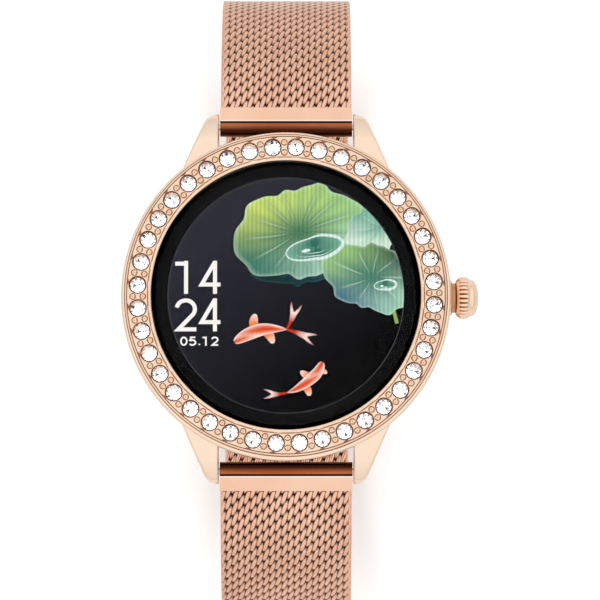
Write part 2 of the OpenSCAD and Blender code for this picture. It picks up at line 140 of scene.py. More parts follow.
def object_coords(tree, scale=(1, 1, 1)):
    """Object coordinates in millimetres, stretched by scale."""
    coords = add_node(tree, "ShaderNodeTexCoord")
    mapping = add_node(tree, "ShaderNodeMapping")
    mapping.inputs["Scale"].default_value = [s / MM for s in scale]
    tree.links.new(coords.outputs["Object"], mapping.inputs["Vector"])
    return mapping.outputs["Vector"]


def noise(tree, coords, scale, detail=3.0, rough=0.55):
    node = add_node(tree, "ShaderNodeTexNoise", Scale=scale, Detail=detail, Roughness=rough)
    tree.links.new(coords, node.inputs["Vector"])
    return node.outputs["Fac"]


def remap(tree, value, lo, hi, start=0.3, stop=0.7):
    """A value from start to stop turned into one from lo to hi."""
    node = add_node(tree, "ShaderNodeMapRange", From_Min=start, From_Max=stop, To_Min=lo, To_Max=hi)
    tree.links.new(value, node.inputs["Value"])
    return node.outputs["Result"]


def blend_colours(tree, factor, first, second):
    """A mix of two colours, each given as a value or as an output."""
    node = add_node(tree, "ShaderNodeMix", data_type="RGBA")
    tree.links.new(factor, node.inputs[0])
    for socket, colour in ((node.inputs[6], first), (node.inputs[7], second)):
        if isinstance(colour, tuple):
            socket.default_value = (*colour, 1)
        else:
            tree.links.new(colour, socket)
    return node.outputs[2]


def bump(tree, height, bsdf, strength, distance):
    node = add_node(tree, "ShaderNodeBump", Strength=strength, Distance=distance * MM)
    tree.links.new(height, node.inputs["Height"])
    tree.links.new(node.outputs["Normal"], bsdf.inputs["Normal"])


def metal(name, light, dark, rough, spread, grain=(1, 1, 1), grain_scale=0.4, scratch=0.0015,
          shade_colour=None):
    """Metal whose colour, roughness and fine surface grain vary over it.

    The last argument is the colour of painted shade and painted reflection that it turns to where the
    mesh's paint falls from white to black."""
    mat, tree, bsdf = shader(name, Metallic=1.0)
    cloud = noise(tree, object_coords(tree), 0.12, 3.0)
    colour = blend_colours(tree, remap(tree, cloud, 0, 1), dark, light)
    if shade_colour:
        paint = add_node(tree, "ShaderNodeAttribute", attribute_name="paint")
        split = add_node(tree, "ShaderNodeSeparateColor")
        tree.links.new(paint.outputs["Color"], split.inputs[0])
        colour = blend_colours(tree, split.outputs[0], shade_colour, colour)
    tree.links.new(colour, bsdf.inputs["Base Color"])
    streaks = noise(tree, object_coords(tree, grain), grain_scale, 5.0, 0.65)
    tree.links.new(remap(tree, streaks, rough, rough + spread), bsdf.inputs["Roughness"])
    if scratch:
        bump(tree, streaks, bsdf, 0.35, scratch)
    return mat


def plain(name, light, dark, rough, scale=1.2, height=0.004, specular=0.5):
    """A moulded or painted surface with a fine pebble and slight change of colour."""
    mat, tree, bsdf = shader(name, Specular_IOR_Level=specular)
    coords = object_coords(tree)
    cloud = noise(tree, coords, scale, 4.0)
    colour = blend_colours(tree, remap(tree, cloud, 0, 1), dark, light)
    tree.links.new(colour, bsdf.inputs["Base Color"])
    tree.links.new(remap(tree, cloud, rough, rough + 0.12), bsdf.inputs["Roughness"])
    bump(tree, noise(tree, coords, 6 * scale, 3.0), bsdf, 0.3, height)
    return mat


def clear(name, tint, ior, rough=0.0):
    """Clear glass with faint smears in its gloss."""
    mat, tree, bsdf = shader(name, Transmission_Weight=1.0, IOR=ior)
    smear = noise(tree, object_coords(tree), 0.2, 2.0)
    tree.links.new(remap(tree, smear, rough, rough + 0.01), bsdf.inputs["Roughness"])
    colour = blend_colours(tree, remap(tree, smear, 0, 1), tint, (1, 1, 1))
    tree.links.new(colour, bsdf.inputs["Base Color"])
    return mat


def picture(name, stripe):
    """Lit pixels: the colour is painted on the mesh's points, with fine stripes down the screen."""
    mat, tree, bsdf = shader(name, Base_Color=(0.002, 0.002, 0.002, 1), Roughness=0.4,
                             Specular_IOR_Level=0.0, Emission_Strength=1.0)
    paint = add_node(tree, "ShaderNodeAttribute", attribute_name="paint")
    wave = add_node(tree, "ShaderNodeTexWave", wave_type="BANDS", bands_direction="X",
                    Scale=0.55, Distortion=1.2, Detail=2.0, Detail_Scale=0.6)
    tree.links.new(object_coords(tree, (1, 0.06, 1)), wave.inputs["Vector"])
    shade = remap(tree, wave.outputs["Fac"], 1 - stripe, 1 + 0.6 * stripe, 0, 1)
    scale = add_node(tree, "ShaderNodeVectorMath", operation="SCALE")
    tree.links.new(paint.outputs["Color"], scale.inputs[0])
    tree.links.new(shade, scale.inputs["Scale"])
    tree.links.new(scale.outputs["Vector"], bsdf.inputs["Emission Color"])
    return mat


GOLD_LIGHT = (1.0, 0.78, 0.61)
GOLD_DARK = (0.98, 0.74, 0.57)
PLAIN_GRAIN = ((1, 1, 1), 0.4, 0.0015)
NO_GRAIN = ((1, 1, 1), 0.4, 0)

# name, light colour, dark colour, least roughness, its spread, then the stretch of the grain,
# its scale, its depth and the colour of its painted shade and painted reflection
METALS = {
    "rose_gold": ("polished_rose_gold", GOLD_LIGHT, GOLD_DARK, 0.07, 0.05),
    "bezel_gold": ("polished_bezel_gold", (1.0, 0.75, 0.57), (0.93, 0.65, 0.47), 0.10, 0.08),
    # its last colour is painted shade deep in the weave
    "mesh": ("woven_rose_gold", (0.96, 0.60, 0.44), (0.83, 0.48, 0.34), 0.20, 0.12, (1, 0.3, 1), 2.0, 0.006,
             (0.035, 0.010, 0.005)),
    # its last colour is painted reflection and painted shade on the beads
    "bead_gold": ("punched_bead_gold", (0.98, 0.72, 0.52), (0.92, 0.62, 0.43), 0.10, 0.06, *PLAIN_GRAIN,
                  (0.22, 0.085, 0.045)),
    # its last colour is the painted dark reflection on the knuckle
    "end_gold": ("end_bar_gold", (0.95, 0.62, 0.45), (0.89, 0.55, 0.39), 0.08, 0.05, *PLAIN_GRAIN,
                 (0.10, 0.030, 0.014)),
    # a painted reflection: a darker copper-toned copy of the gold round the end bar's knuckle
    "end_band_reflection": ("end_bar_painted_reflection", (0.50, 0.155, 0.06), (0.40, 0.11, 0.04), 0.10, 0.06, *PLAIN_GRAIN,
                   (0.05, 0.018, 0.012)),
    # its last colour is painted shade in the crown's grooves
    "crown_gold": ("ribbed_crown_gold", (0.99, 0.75, 0.57), (0.96, 0.69, 0.51), 0.12, 0.08, *PLAIN_GRAIN,
                   (0.60, 0.29, 0.15)),
    # a painted highlight along the end bar's edge
    "edge_shine": ("painted_edge_highlight", (1.0, 0.90, 0.82), (1.0, 0.84, 0.74), 0.04, 0.02, *NO_GRAIN),
    # painted shade: a darker copy of the gold over the crown's neck
    "neck_shade": ("crown_neck_painted_shade", (0.66, 0.33, 0.17), (0.50, 0.23, 0.11), 0.14, 0.10),
    # painted shadow: dark lines under the end bar's edge and round the crown's flange
    "shadow": ("cut_shadow", (0.045, 0.018, 0.011), (0.03, 0.012, 0.008), 0.25, 0.1, *NO_GRAIN),
    # painted shade in the bezel's grooves, seats and notches
    "line": ("painted_groove_shade", (0.36, 0.17, 0.10), (0.26, 0.115, 0.07), 0.2, 0.1, *NO_GRAIN),
    "foil": ("stone_foil", (1.0, 1.0, 1.0), (0.96, 0.96, 0.97), 0.03, 0.02, *NO_GRAIN),
    # painted reflections on the stones' pavilions: grey foil on some facets, a dark one on another
    "foil_grey": ("stone_foil_shade", (0.84, 0.84, 0.85), (0.74, 0.74, 0.76), 0.05, 0.03, *NO_GRAIN),
    "dark_facet": ("stone_shadow", (0.10, 0.10, 0.12), (0.05, 0.05, 0.06), 0.1, 0.05, *NO_GRAIN),
    # a dark sheet of painted shade inside the weave
    "core": ("weave_painted_shade_sheet", (0.075, 0.028, 0.016), (0.04, 0.014, 0.008), 0.45, 0.2),
    "brushed_gold": ("brushed_rose_gold", (0.93, 0.66, 0.51), (0.88, 0.60, 0.45), 0.16, 0.12,
                     (0.06, 3, 3), 1.5, 0.004),
    "steel": ("turned_steel", (0.72, 0.72, 0.74), (0.62, 0.62, 0.64), 0.18, 0.12, (3, 0.1, 3), 1.2, 0.003),
    "copper": ("plated_copper", (0.90, 0.62, 0.30), (0.80, 0.50, 0.22), 0.22, 0.15),
}
MATERIALS = {key: metal(*look) for key, look in METALS.items()}
MATERIALS.update({
    "stone": clear("cut_crystal", (1.0, 1.0, 1.0), 1.38),
    "glass": clear("cover_crystal", (0.96, 0.97, 0.98), 1.07),
    "black": plain("printed_black", (0.0045, 0.0045, 0.005), (0.003, 0.003, 0.0035), 0.35, specular=0.0),
    "plastic": plain("moulded_black", (0.02, 0.02, 0.022), (0.012, 0.012, 0.014), 0.35),
    "seal": plain("seal_rubber", (0.03, 0.03, 0.03), (0.02, 0.02, 0.02), 0.6, 2.0, 0.01),
    "board": plain("board_lacquer", (0.03, 0.16, 0.09), (0.02, 0.11, 0.06), 0.3, 3.0, 0.01),
    "window": plain("window_glass", (0.012, 0.012, 0.016), (0.008, 0.008, 0.01), 0.05, 0.3, 0.0005),
    "leaf": picture("lit_leaf", 0.16),
    "lit": picture("lit_picture", 0.0),
})


# ---- meshes ----

class Shape:
    """Points and faces gathered from several closed or open surfaces."""

    def __init__(self):
        self.points = []
        self.faces = []
        self.slots = []
        self.paint = []

    def add(self, points, faces, slots=None, paint=()):
        """slots and paint hold one entry for each face and for each point."""
        start = len(self.points)
        self.points.extend(tuple(p) for p in points)
        self.faces.extend([tuple(start + i for i in f) for f in faces])
        self.slots.extend(slots or [0] * len(faces))
        self.paint.extend(paint)
        return self

    def moved(self, matrix):
        self.points = [tuple(matrix @ Vector(p)) for p in self.points]
        return self

    def join(self, other, matrix=None):
        points = other.points if matrix is None else [matrix @ Vector(p) for p in other.points]
        return self.add(points, other.faces, other.slots, other.paint)


def build(name, shape, weld, outward, materials=()):
    """One object from a shape, with points within weld of each other joined."""
    mesh = bpy.data.meshes.new(name)
    mesh.from_pydata([(x * MM, y * MM, z * MM) for x, y, z in shape.points], [], shape.faces)
    for key in materials:
        mesh.materials.append(MATERIALS[key])
    mesh.polygons.foreach_set("material_index", shape.slots)
    if shape.paint:
        layer = mesh.color_attributes.new("paint", "FLOAT_COLOR", "POINT")
        layer.data.foreach_set("color", [v for c in shape.paint for v in (*c, 1.0)])
    if weld or outward:
        bm = bmesh.new()
        bm.from_mesh(mesh)
        if weld:
            bmesh.ops.remove_doubles(bm, verts=bm.verts, dist=weld * MM)
        if outward:
            bmesh.ops.recalc_face_normals(bm, faces=bm.faces)
        bm.to_mesh(mesh)
        bm.free()
    obj = bpy.data.objects.new(name, mesh)
    scene.collection.objects.link(obj)
    return obj


def make(name, shape, body, materials, nodes=(), sharp=32.0, weld=0.0, outward=True):
    """An object that rides on a body and stands for its CAD nodes."""
    obj = build(name, shape, weld, outward, materials)
    obj.data.shade_smooth()
    obj.data.set_sharp_from_angle(angle=radians(sharp))
    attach(obj, body)
    if nodes:
        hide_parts(*nodes)
    return obj


def rounded(points, reach, steps=4, closed=True):
    """The outline with each corner rounded over a length of reach along its two sides."""
    out = []
    count = len(points)
    for i, p in enumerate(points):
        here = Vector(p)
        if not closed and i in (0, count - 1):
            out.append(here)
            continue
        back = Vector(points[i - 1]) - here
        ahead = Vector(points[(i + 1) % count]) - here
        size = min(reach, 0.45 * back.length, 0.45 * ahead.length)
        start = here + back.normalized() * size
        stop = here + ahead.normalized() * size
        for k in range(steps + 1):
            t = k / steps
            out.append(start * (1 - t) ** 2 + here * (2 * t * (1 - t)) + stop * t * t)
    return out


def curve(a, b, c, steps):
    """Points on a curve from a to c that leaves and arrives towards b."""
    out = []
    for k in range(steps + 1):
        t = k / steps
        out.append(tuple(p * (1 - t) ** 2 + q * 2 * t * (1 - t) + r * t * t for p, q, r in zip(a, b, c)))
    return out


def polar(r, a):
    return r * cos(a), r * sin(a)


def grid(rows, columns, round_rows=False, round_columns=False):
    """Quads over rows of points, joined round in either direction where that is asked for."""
    faces = []
    for j in range(rows if round_rows else rows - 1):
        here, beyond = j * columns, (j + 1) % rows * columns
        for i in range(columns if round_columns else columns - 1):
            n = (i + 1) % columns
            faces.append((here + i, beyond + i, beyond + n, here + n))
    return faces


def lathe(profile, segments, closed=True, start=0.0):
    """A profile of (radius, height) turned about Z. Points at radius 0 close the end."""
    points = []
    for k in range(segments):
        a = start + TAU * k / segments
        points.extend((*polar(r, a), h) for r, h in profile)
    return Shape().add(points, grid(segments, len(profile), True, closed))


ALONG_X = Matrix(((0, 0, 1), (1, 0, 0), (0, 1, 0))).to_4x4()
CROWN_AXIS = Matrix.Translation((0, 0, CROWN_Z)) @ ALONG_X


def loft(rings, first_end=True):
    """A skin over rings of equal point counts, with a flat end and, by first_end, a flat start."""
    count = len(rings[0])
    faces = grid(len(rings), count, False, True)
    if first_end:
        faces.append(tuple(range(count - 1, -1, -1)))
    faces.append(tuple((len(rings) - 1) * count + i for i in range(count)))
    return Shape().add([p for ring in rings for p in ring], faces)


# ---- case ----

LUG_X = END_HALF + 0.15
LUG_ROOT_Y = 14.0
LUG_ROOT_Z = 1.3
LUG_TOP_Z = 8.45
LUG_TIP_Y = BAR_Y - 0.4
LUG_TIP_R = 2.15
CASE_BORE_R = 18.65
BACK_HOLE_R = 17.6
BACK_Z = 0.9
CROWN_BORE_R = 1.5


def case_profile():
    outline = [
        (BACK_HOLE_R, BACK_Z), (19.3, BACK_Z), (20.1, 1.5), (20.9, 3.1), (21.45, 4.9), (21.95, 6.5),
        (CASE_R, 7.3), (CASE_R, SEAM_Z - 0.4), (CASE_R - 0.1, SEAM_Z - 0.15), (CASE_R - 0.35, SEAM_Z),
        (CASE_BORE_R, SEAM_Z), (CASE_BORE_R, BACK_Z + 1.3), (BACK_HOLE_R, BACK_Z + 1.3)
    ]
    return rounded(outline, 0.5, 4)


def lug_outer_x(y):
    """Outer side of a lug in plan: a straight flank that ends in a round tip."""
    slope = 0.434
    tip = Vector((LUG_X + 0.05, LUG_TIP_Y))
    touch = tip + LUG_TIP_R * Vector(polar(1, atan(slope)))
    if y < touch.y:
        return touch.x + (touch.y - y) * slope
    return tip.x + sqrt(max(LUG_TIP_R ** 2 - (y - tip.y) ** 2, 0))


def lug_heights(y):
    """Bottom and top of a lug at y."""
    nose_r = 1.8
    top = Vector((13.9, -7.2))
    top_r = (Vector((BAR_Y, BAR_Z)) - top).length + nose_r
    touch_y = BAR_Y + nose_r * (BAR_Y - top.x) / (top_r - nose_r)
    nose = sqrt(max(nose_r ** 2 - (y - BAR_Y) ** 2, 0))
    upper = top.y + sqrt(top_r ** 2 - (y - top.x) ** 2) if y < touch_y else BAR_Z + nose
    lower = BAR_Z - nose
    if y < BAR_Y:
        rise = BAR_Z - nose_r - LUG_ROOT_Z
        lower = LUG_ROOT_Z + rise * (y - LUG_ROOT_Y) / (BAR_Y - LUG_ROOT_Y)
    blend = 0.9
    gap = max(0.0, blend - abs(upper - LUG_TOP_Z)) / blend
    return lower, min(upper, LUG_TOP_Z) - gap * gap * blend / 4


def lug():
    """The lug at +X and +Y, as sections along Y that crowd towards its tip."""
    rings = []
    reach = LUG_TIP_Y + LUG_TIP_R - 0.004 - LUG_ROOT_Y
    thin = 0.02
    steps = 34
    for k in range(steps + 1):
        y = LUG_ROOT_Y + reach * sin(pi / 2 * k / steps)
        x1 = max(lug_outer_x(y), LUG_X + thin)
        z0, z1 = lug_heights(y)
        if z1 - z0 < thin:
            z0, z1 = (z0 + z1 - thin) / 2, (z0 + z1 + thin) / 2
        outline = rounded([(LUG_X, z0), (x1, z0), (x1, z1), (LUG_X, z1)], 0.42, 5)
        rings.append([(x, y, z) for x, z in outline])
    return loft(rings)


def case_middle():
    """The round band, bored for the crown's tube, and its four lugs."""
    sharp = 38
    band = lathe(case_profile(), 360)
    obj = make("case_middle_shell", band, "head", ["rose_gold"], ["case_middle"], sharp)
    bore(obj, CROWN_BORE_R, CASE_R - 5, CASE_R + 1, sharp)
    one = lug()
    lugs = Shape()
    for sx in (1, -1):
        for sy in (1, -1):
            lugs.join(one, Matrix.Diagonal((sx, sy, 1, 1)))
    make("case_lugs", lugs, "head", ["rose_gold"], ["case_middle"], sharp)


def bore(obj, radius, x0, x1, sharp):
    """Cut a round hole through an object along the crown's axis."""
    rod = lathe([(0, x0), (radius, x0), (radius, x1), (0, x1)], 64, closed=False)
    drill = build("crown_drill", rod.moved(CROWN_AXIS), 0.001, True)
    cut = obj.modifiers.new("crown_bore", "BOOLEAN")
    cut.object = drill
    cut.solver = "EXACT"
    solid = obj.evaluated_get(bpy.context.evaluated_depsgraph_get())
    bored = bpy.data.meshes.new_from_object(solid)
    obj.modifiers.clear()
    obj.data = bored
    bored.set_sharp_from_angle(angle=radians(sharp))
    bpy.data.objects.remove(drill)


# ---- bezel ----

PAVE_Z = BEZEL_TOP - 0.3
PAVE_IN = 18.65
PAVE_OUT = 21.3
SPIGOT_R = 18.55
LEDGE_R = 17.45
ARC_STEPS = 12
SIDE_STEPS = 6


def sector_edge():
    """Points round one stone's share of the set face, as (radius, angle from the stone)."""
    half = STONE_PITCH / 2
    corners = [(PAVE_OUT, -half, ARC_STEPS), (PAVE_OUT, half, SIDE_STEPS),
               (PAVE_IN, half, ARC_STEPS), (PAVE_IN, -half, SIDE_STEPS)]
    edge = []
    for i, (r, a, steps) in enumerate(corners):
        next_r, next_a, _ = corners[(i + 1) % 4]
        edge.extend((r + (next_r - r) * k / steps, a + (next_a - a) * k / steps) for k in range(steps))
    return edge


def stone_sector():
    """The face round one seat, the seat's rounded mouth, its wall and its floor."""
    edge = [Vector((*polar(r, a), PAVE_Z)) for r, a in sector_edge()]
    centre = Vector((STONE_RING, 0, PAVE_Z))
    rings = [edge]
    for radius, depth in [(SEAT_R + 0.10, 0.0), (SEAT_R + 0.04, 0.02), (SEAT_R, 0.07),
                          (SEAT_R - 0.02, 0.5), (0.5, 0.95)]:
        ring = []
        for p in edge:
            away = (p - centre).normalized()
            ring.append(centre + away * radius - Vector((0, 0, depth)))
        rings.append(ring)
    shape = loft(rings, first_end=False)
    # painted shade: the seat's mouth, wall and floor take the dark groove material
    shape.slots = [0] * len(edge) + [1] * (len(shape.faces) - len(edge))
    return shape


def recolour(shape, test, slot=1):
    """Give another material to the faces whose centre passes the test of radius and height."""
    for i, face in enumerate(shape.faces):
        x, y, z = (sum(shape.points[j][k] for j in face) / len(face) for k in range(3))
        if test(hypot(x, y), z):
            shape.slots[i] = slot


def bead():
    """A raised bead with a punch mark on its top."""
    z = BEZEL_TOP - BEAD_R
    profile = [(0.0, z + BEAD_R - 0.06), (0.10, z + BEAD_R - 0.02)]
    for k in range(1, 8):
        across, up = polar(BEAD_R, radians(75 - 62 * k / 7))
        profile.append((across, z + up))
    foot = profile[-1][0]
    profile += [(foot + 0.02, PAVE_Z + 0.006), (foot + BEAD_MOAT, PAVE_Z + 0.004),
                (foot + BEAD_MOAT, PAVE_Z - 0.05), (0.0, PAVE_Z - 0.05)]
    shape = lathe(profile, 24, closed=False)
    for x, y, h in shape.points:
        r = hypot(x, y)
        # painted reflection, dark at the punch mark's middle, and painted shade round the bead's foot
        shape.paint.append((0.0,) * 3 if r < 0.03 or r > foot - 0.01 else (1.0,) * 3)
    return shape


def notch():
    """The small shallow cut between a seat and the outer groove, dark with painted shadow."""
    reach = PAVE_OUT - STONE_RING
    plan = [(1.14, -0.30), (1.24, -0.66), (reach, -0.80), (reach, 0.10)]
    return loft([[(STONE_RING + x, y, PAVE_Z + h) for x, y in plan] for h in (-0.02, 0.006)])


def turned(angle):
    return Matrix.Rotation(angle, 4, "Z")


def bezel():
    """The ring's rim and inside by a lathe, and its set face by one sector for each stone."""
    groove_z = PAVE_Z - 0.15
    step_r = BEZEL_R - 0.12
    foot_z = SEAM_Z - 0.6
    rim = [
        (PAVE_OUT, PAVE_Z), (PAVE_OUT + 0.01, groove_z), (PAVE_OUT + 0.12, groove_z),
        (PAVE_OUT + 0.13, PAVE_Z - 0.02), (step_r - 0.06, BEZEL_TOP - 0.4),
        (step_r, BEZEL_TOP - 0.48), (step_r, BEZEL_TOP - 0.66), (BEZEL_R, BEZEL_TOP - 0.67),
        (BEZEL_R, SEAM_Z + 0.2), (BEZEL_R - 0.2, SEAM_Z), (SPIGOT_R, SEAM_Z), (SPIGOT_R, foot_z),
        (LEDGE_R, foot_z), (LEDGE_R, GLASS_Z - 0.25), (GLASS_R + 0.05, GLASS_Z - 0.25),
        (GLASS_R + 0.05, BEZEL_TOP - 0.1), (GLASS_R + 0.15, BEZEL_TOP), (PAVE_IN - 0.22, BEZEL_TOP),
        (PAVE_IN - 0.1, BEZEL_TOP - 0.12), (PAVE_IN - 0.1, groove_z), (PAVE_IN - 0.01, groove_z),
        (PAVE_IN, PAVE_Z)
    ]
    profile = rounded(rim, 0.03, 2, closed=False)
    first = STONE_FIRST + STONE_PITCH / 2
    shape = lathe(profile, STONES * ARC_STEPS, closed=False, start=first)
    # painted shade: the outer and inner grooves and the face under the rim's step take the dark groove
    # material
    recolour(shape, lambda r, z: PAVE_OUT < r < PAVE_OUT + 0.13 and z < PAVE_Z - 0.05)
    recolour(shape, lambda r, z: PAVE_IN - 0.11 < r < PAVE_IN and PAVE_Z - 0.16 < z < PAVE_Z - 0.05)
    recolour(shape, lambda r, z: r > step_r - 0.02 and BEZEL_TOP - 0.68 < z < BEZEL_TOP - 0.5)
    cut = notch()
    # painted shadow on the notch
    cut.slots = [1] * len(cut.faces)
    sector = stone_sector()
    pip = bead()
    beads = Shape()
    for i in range(STONES):
        angle = STONE_FIRST - i * STONE_PITCH
        shape.join(sector, turned(angle))
        shape.join(cut, turned(angle))
        for offset in (0.62, -0.75):
            move = turned(angle + STONE_PITCH / 2) @ Matrix.Translation((STONE_RING + offset, 0, 0))
            beads.join(pip, move)
    make("bezel_ring_set", shape, "head", ["bezel_gold", "line"], ["bezel_ring"], 34,
         weld=0.002)
    make("bezel_beads", beads, "head", ["bead_gold"], ["bezel_ring"], 50, weld=0.002)


def brilliant(luck):
    """A round brilliant: a clear crown over a foiled pavilion, its facets painted bright, grey and one dark
    as painted reflections.
    """
    spin = luck.uniform(0, TAU)
    half_girdle = 0.05
    top = STONE_TOP - (PAVE_Z - STONE_SINK)
    tip = STONE_TIP - (PAVE_Z - STONE_SINK)

    def ring(count, radius, z, shift=0.0):
        return [(*polar(radius, TAU * (k + shift) / count + spin), z) for k in range(count)]

    table = ring(8, 0.60 * STONE_R, top)
    mid = ring(8, 0.82 * STONE_R, 0.55 * top, 0.5)
    upper = ring(16, STONE_R, half_girdle)
    lower = ring(16, STONE_R, -half_girdle)
    deep = ring(8, 0.52 * STONE_R, 0.5 * tip, 0.5)
    points = table + mid + upper + lower + deep + [(0, 0, tip)]
    # where each ring starts among the points, and the tip at the end
    t, m, u, w, d, c = 0, 8, 16, 32, 48, 56
    crown = [tuple(range(8))]
    pavilion = []
    for k in range(8):
        n = (k + 1) % 8
        crown.append((t + k, m + k, t + n))
        crown.append((t + k, m + (k - 1) % 8, u + 2 * k, m + k))
        crown.append((m + k, u + 2 * k, u + 2 * k + 1))
        crown.append((m + k, u + 2 * k + 1, u + (2 * k + 2) % 16))
        pavilion.append((d + k, w + 2 * k + 1, w + 2 * k))
        pavilion.append((d + k, w + (2 * k + 2) % 16, w + 2 * k + 1))
        pavilion.append((d + (k - 1) % 8, d + k, w + 2 * k))
        pavilion.append((c, d + k, d + (k - 1) % 8))
    girdle = [(u + k, w + k, w + (k + 1) % 16, u + (k + 1) % 16) for k in range(16)]
    # painted reflections: some pavilion facets take a grey foil and the outermost of one kind mostly a dark
    # one
    tones = [2 if luck.random() < 0.38 else 1 for _ in pavilion]
    kind = luck.choice((2, 3, 3, 3))
    outer = max(range(kind, len(pavilion), 4), key=lambda i: sum(points[j][0] for j in pavilion[i]))
    tones[outer] = 3 if luck.random() < 0.8 else 2
    clear_faces = crown + girdle
    return Shape().add(points, clear_faces + pavilion, [0] * len(clear_faces) + tones)


def stones():
    luck = random.Random(11)
    shape = Shape()
    for i in range(STONES):
        seat = Matrix.Translation((STONE_RING, 0, PAVE_Z - STONE_SINK))
        place = turned(STONE_FIRST - i * STONE_PITCH) @ seat
        tilt = Matrix.Rotation(radians(luck.uniform(-2.5, 2.5)), 4, "X")
        lean = Matrix.Rotation(radians(luck.uniform(-2.5, 2.5)), 4, "Y")
        shape.join(brilliant(luck), place @ tilt @ lean)
    coats = ["stone", "foil", "foil_grey", "dark_facet"]
    make("bezel_crystals", shape, "head", coats, ["bezel_stones"], 4)


# ---- glass and display ----

ACTIVE_R = 15.9
PANEL_Z = GLASS_Z - 0.07
LAYER = 0.005


def cover_glass():
    profile = [
        (0, GLASS_Z), (GLASS_R, GLASS_Z), (GLASS_R, GLASS_TOP - 0.28), (GLASS_R - 0.1, GLASS_TOP - 0.1),
        (GLASS_R - 0.35, GLASS_TOP), (0, GLASS_TOP)
    ]
    shape = lathe(rounded(profile, 0.08, 3, closed=False), 240, closed=False)
    make("cover_crystal", shape, "head", ["glass"], ["cover_glass"], 40, weld=0.001)


def display_body():
    block = lathe([(0, DISPLAY_Z), (DISPLAY_R, DISPLAY_Z), (DISPLAY_R, PANEL_Z - LAYER),
                   (0, PANEL_Z - LAYER)], 180, closed=False)
    make("display_panel", block, "head", ["plastic"], ["display_module"], 40, weld=0.001)
    mask_z = GLASS_Z - 0.005
    mask = lathe([(ACTIVE_R, mask_z - 0.01), (GLASS_R - 0.1, mask_z - 0.01), (GLASS_R - 0.1, mask_z),
                  (ACTIVE_R, mask_z)], 240)
    make("printed_border", mask, "head", ["black"], (), 40)


def clip(x, y, limit=ACTIVE_R - 0.1):
    """A place on the screen, brought in to its edge if it is past it."""
    r = hypot(x, y)
    return (x, y) if r < limit else (x * limit / r, y * limit / r)


def screen_layer(name, shape, material):
    make(name, shape, "head", [material], (), 30, outward=False)


def rgb(r, g, b):
    """A screen colour from 0 to 255 as light."""
    return tuple((v / 255) ** 2.2 for v in (r, g, b))


def mix(a, b, t):
    t = min(1.0, max(0.0, t))
    return tuple(p + (q - p) * t for p, q in zip(a, b))


def spline(points, steps=8):
    """A smooth curve through the points."""
    out = []
    last = len(points) - 1
    for i in range(last):
        p0, p1 = Vector(points[max(i - 1, 0)]), Vector(points[i])
        p2, p3 = Vector(points[i + 1]), Vector(points[min(i + 2, last)])
        for k in range(steps):
            t = k / steps
            out.append(0.5 * ((2 * p1) + (p2 - p0) * t + (2 * p0 - 5 * p1 + 4 * p2 - p3) * t ** 2
                              + (3 * p1 - p0 - 3 * p2 + p3) * t ** 3))
    out.append(Vector(points[-1]))
    return out


def ribbon(shape, path, width, colour, z, lanes=4):
    """A flat strip along a path. width(t) is its half-width and colour(t, v) its colour."""
    count = len(path)
    points, paint = [], []
    for i, p in enumerate(path):
        before, after = path[max(i - 1, 0)], path[min(i + 1, count - 1)]
        way = (after - before).normalized()
        side = Vector((-way.y, way.x))
        t = i / (count - 1)
        for k in range(lanes + 1):
            v = 2 * k / lanes - 1
            spot = p + side * (v * width(t))
            points.append((*clip(spot.x, spot.y), z))
            paint.append(colour(t, v))
    shape.add(points, grid(count, lanes + 1), None, paint)


def patch(shape, hub, reach, colour, z, spokes=180, rings=22):
    """A filled outline round a hub. reach(a) is its size and colour(a, q, x, y) its colour."""
    points, paint = [], []
    for j in range(rings + 1):
        q = j / rings
        for k in range(spokes):
            a = TAU * k / spokes
            x, y = clip(hub[0] + q * reach(a) * cos(a), hub[1] + q * reach(a) * sin(a))
            points.append((x, y, z))
            paint.append(colour(a, q, x, y))
    quads = grid(rings + 1, spokes, False, True)
    hub_faces = [quad[:3] for quad in quads[:spokes]]
    shape.add(points, hub_faces + quads[spokes:], None, paint)


def ellipse_reach(a, width, height, turn=0.0):
    """How far an ellipse of these half-sizes reaches at an angle."""
    c, s = cos(a - turn), sin(a - turn)
    return width * height / hypot(height * c, width * s)


def screen_ground():
    """Night water: blue grey at the upper left, near black at the lower right."""
    shape = Shape()
    pale, deep = rgb(46, 46, 55), rgb(2, 2, 4)

    def colour(a, q, x, y):
        t = 0.5 + (x * 0.62 - y * 0.78) / (1.5 * ACTIVE_R)
        return mix(pale, deep, max(t, 0) ** 0.8)

    patch(shape, (0, 0), lambda a: ACTIVE_R - 0.02, colour, PANEL_Z, 240, 24)
    screen_layer("screen_ground", shape, "lit")


def smooth(t):
    """A soft step from 0 to 1."""
    t = min(1.0, max(0.0, t))
    return t * t * (3 - 2 * t)


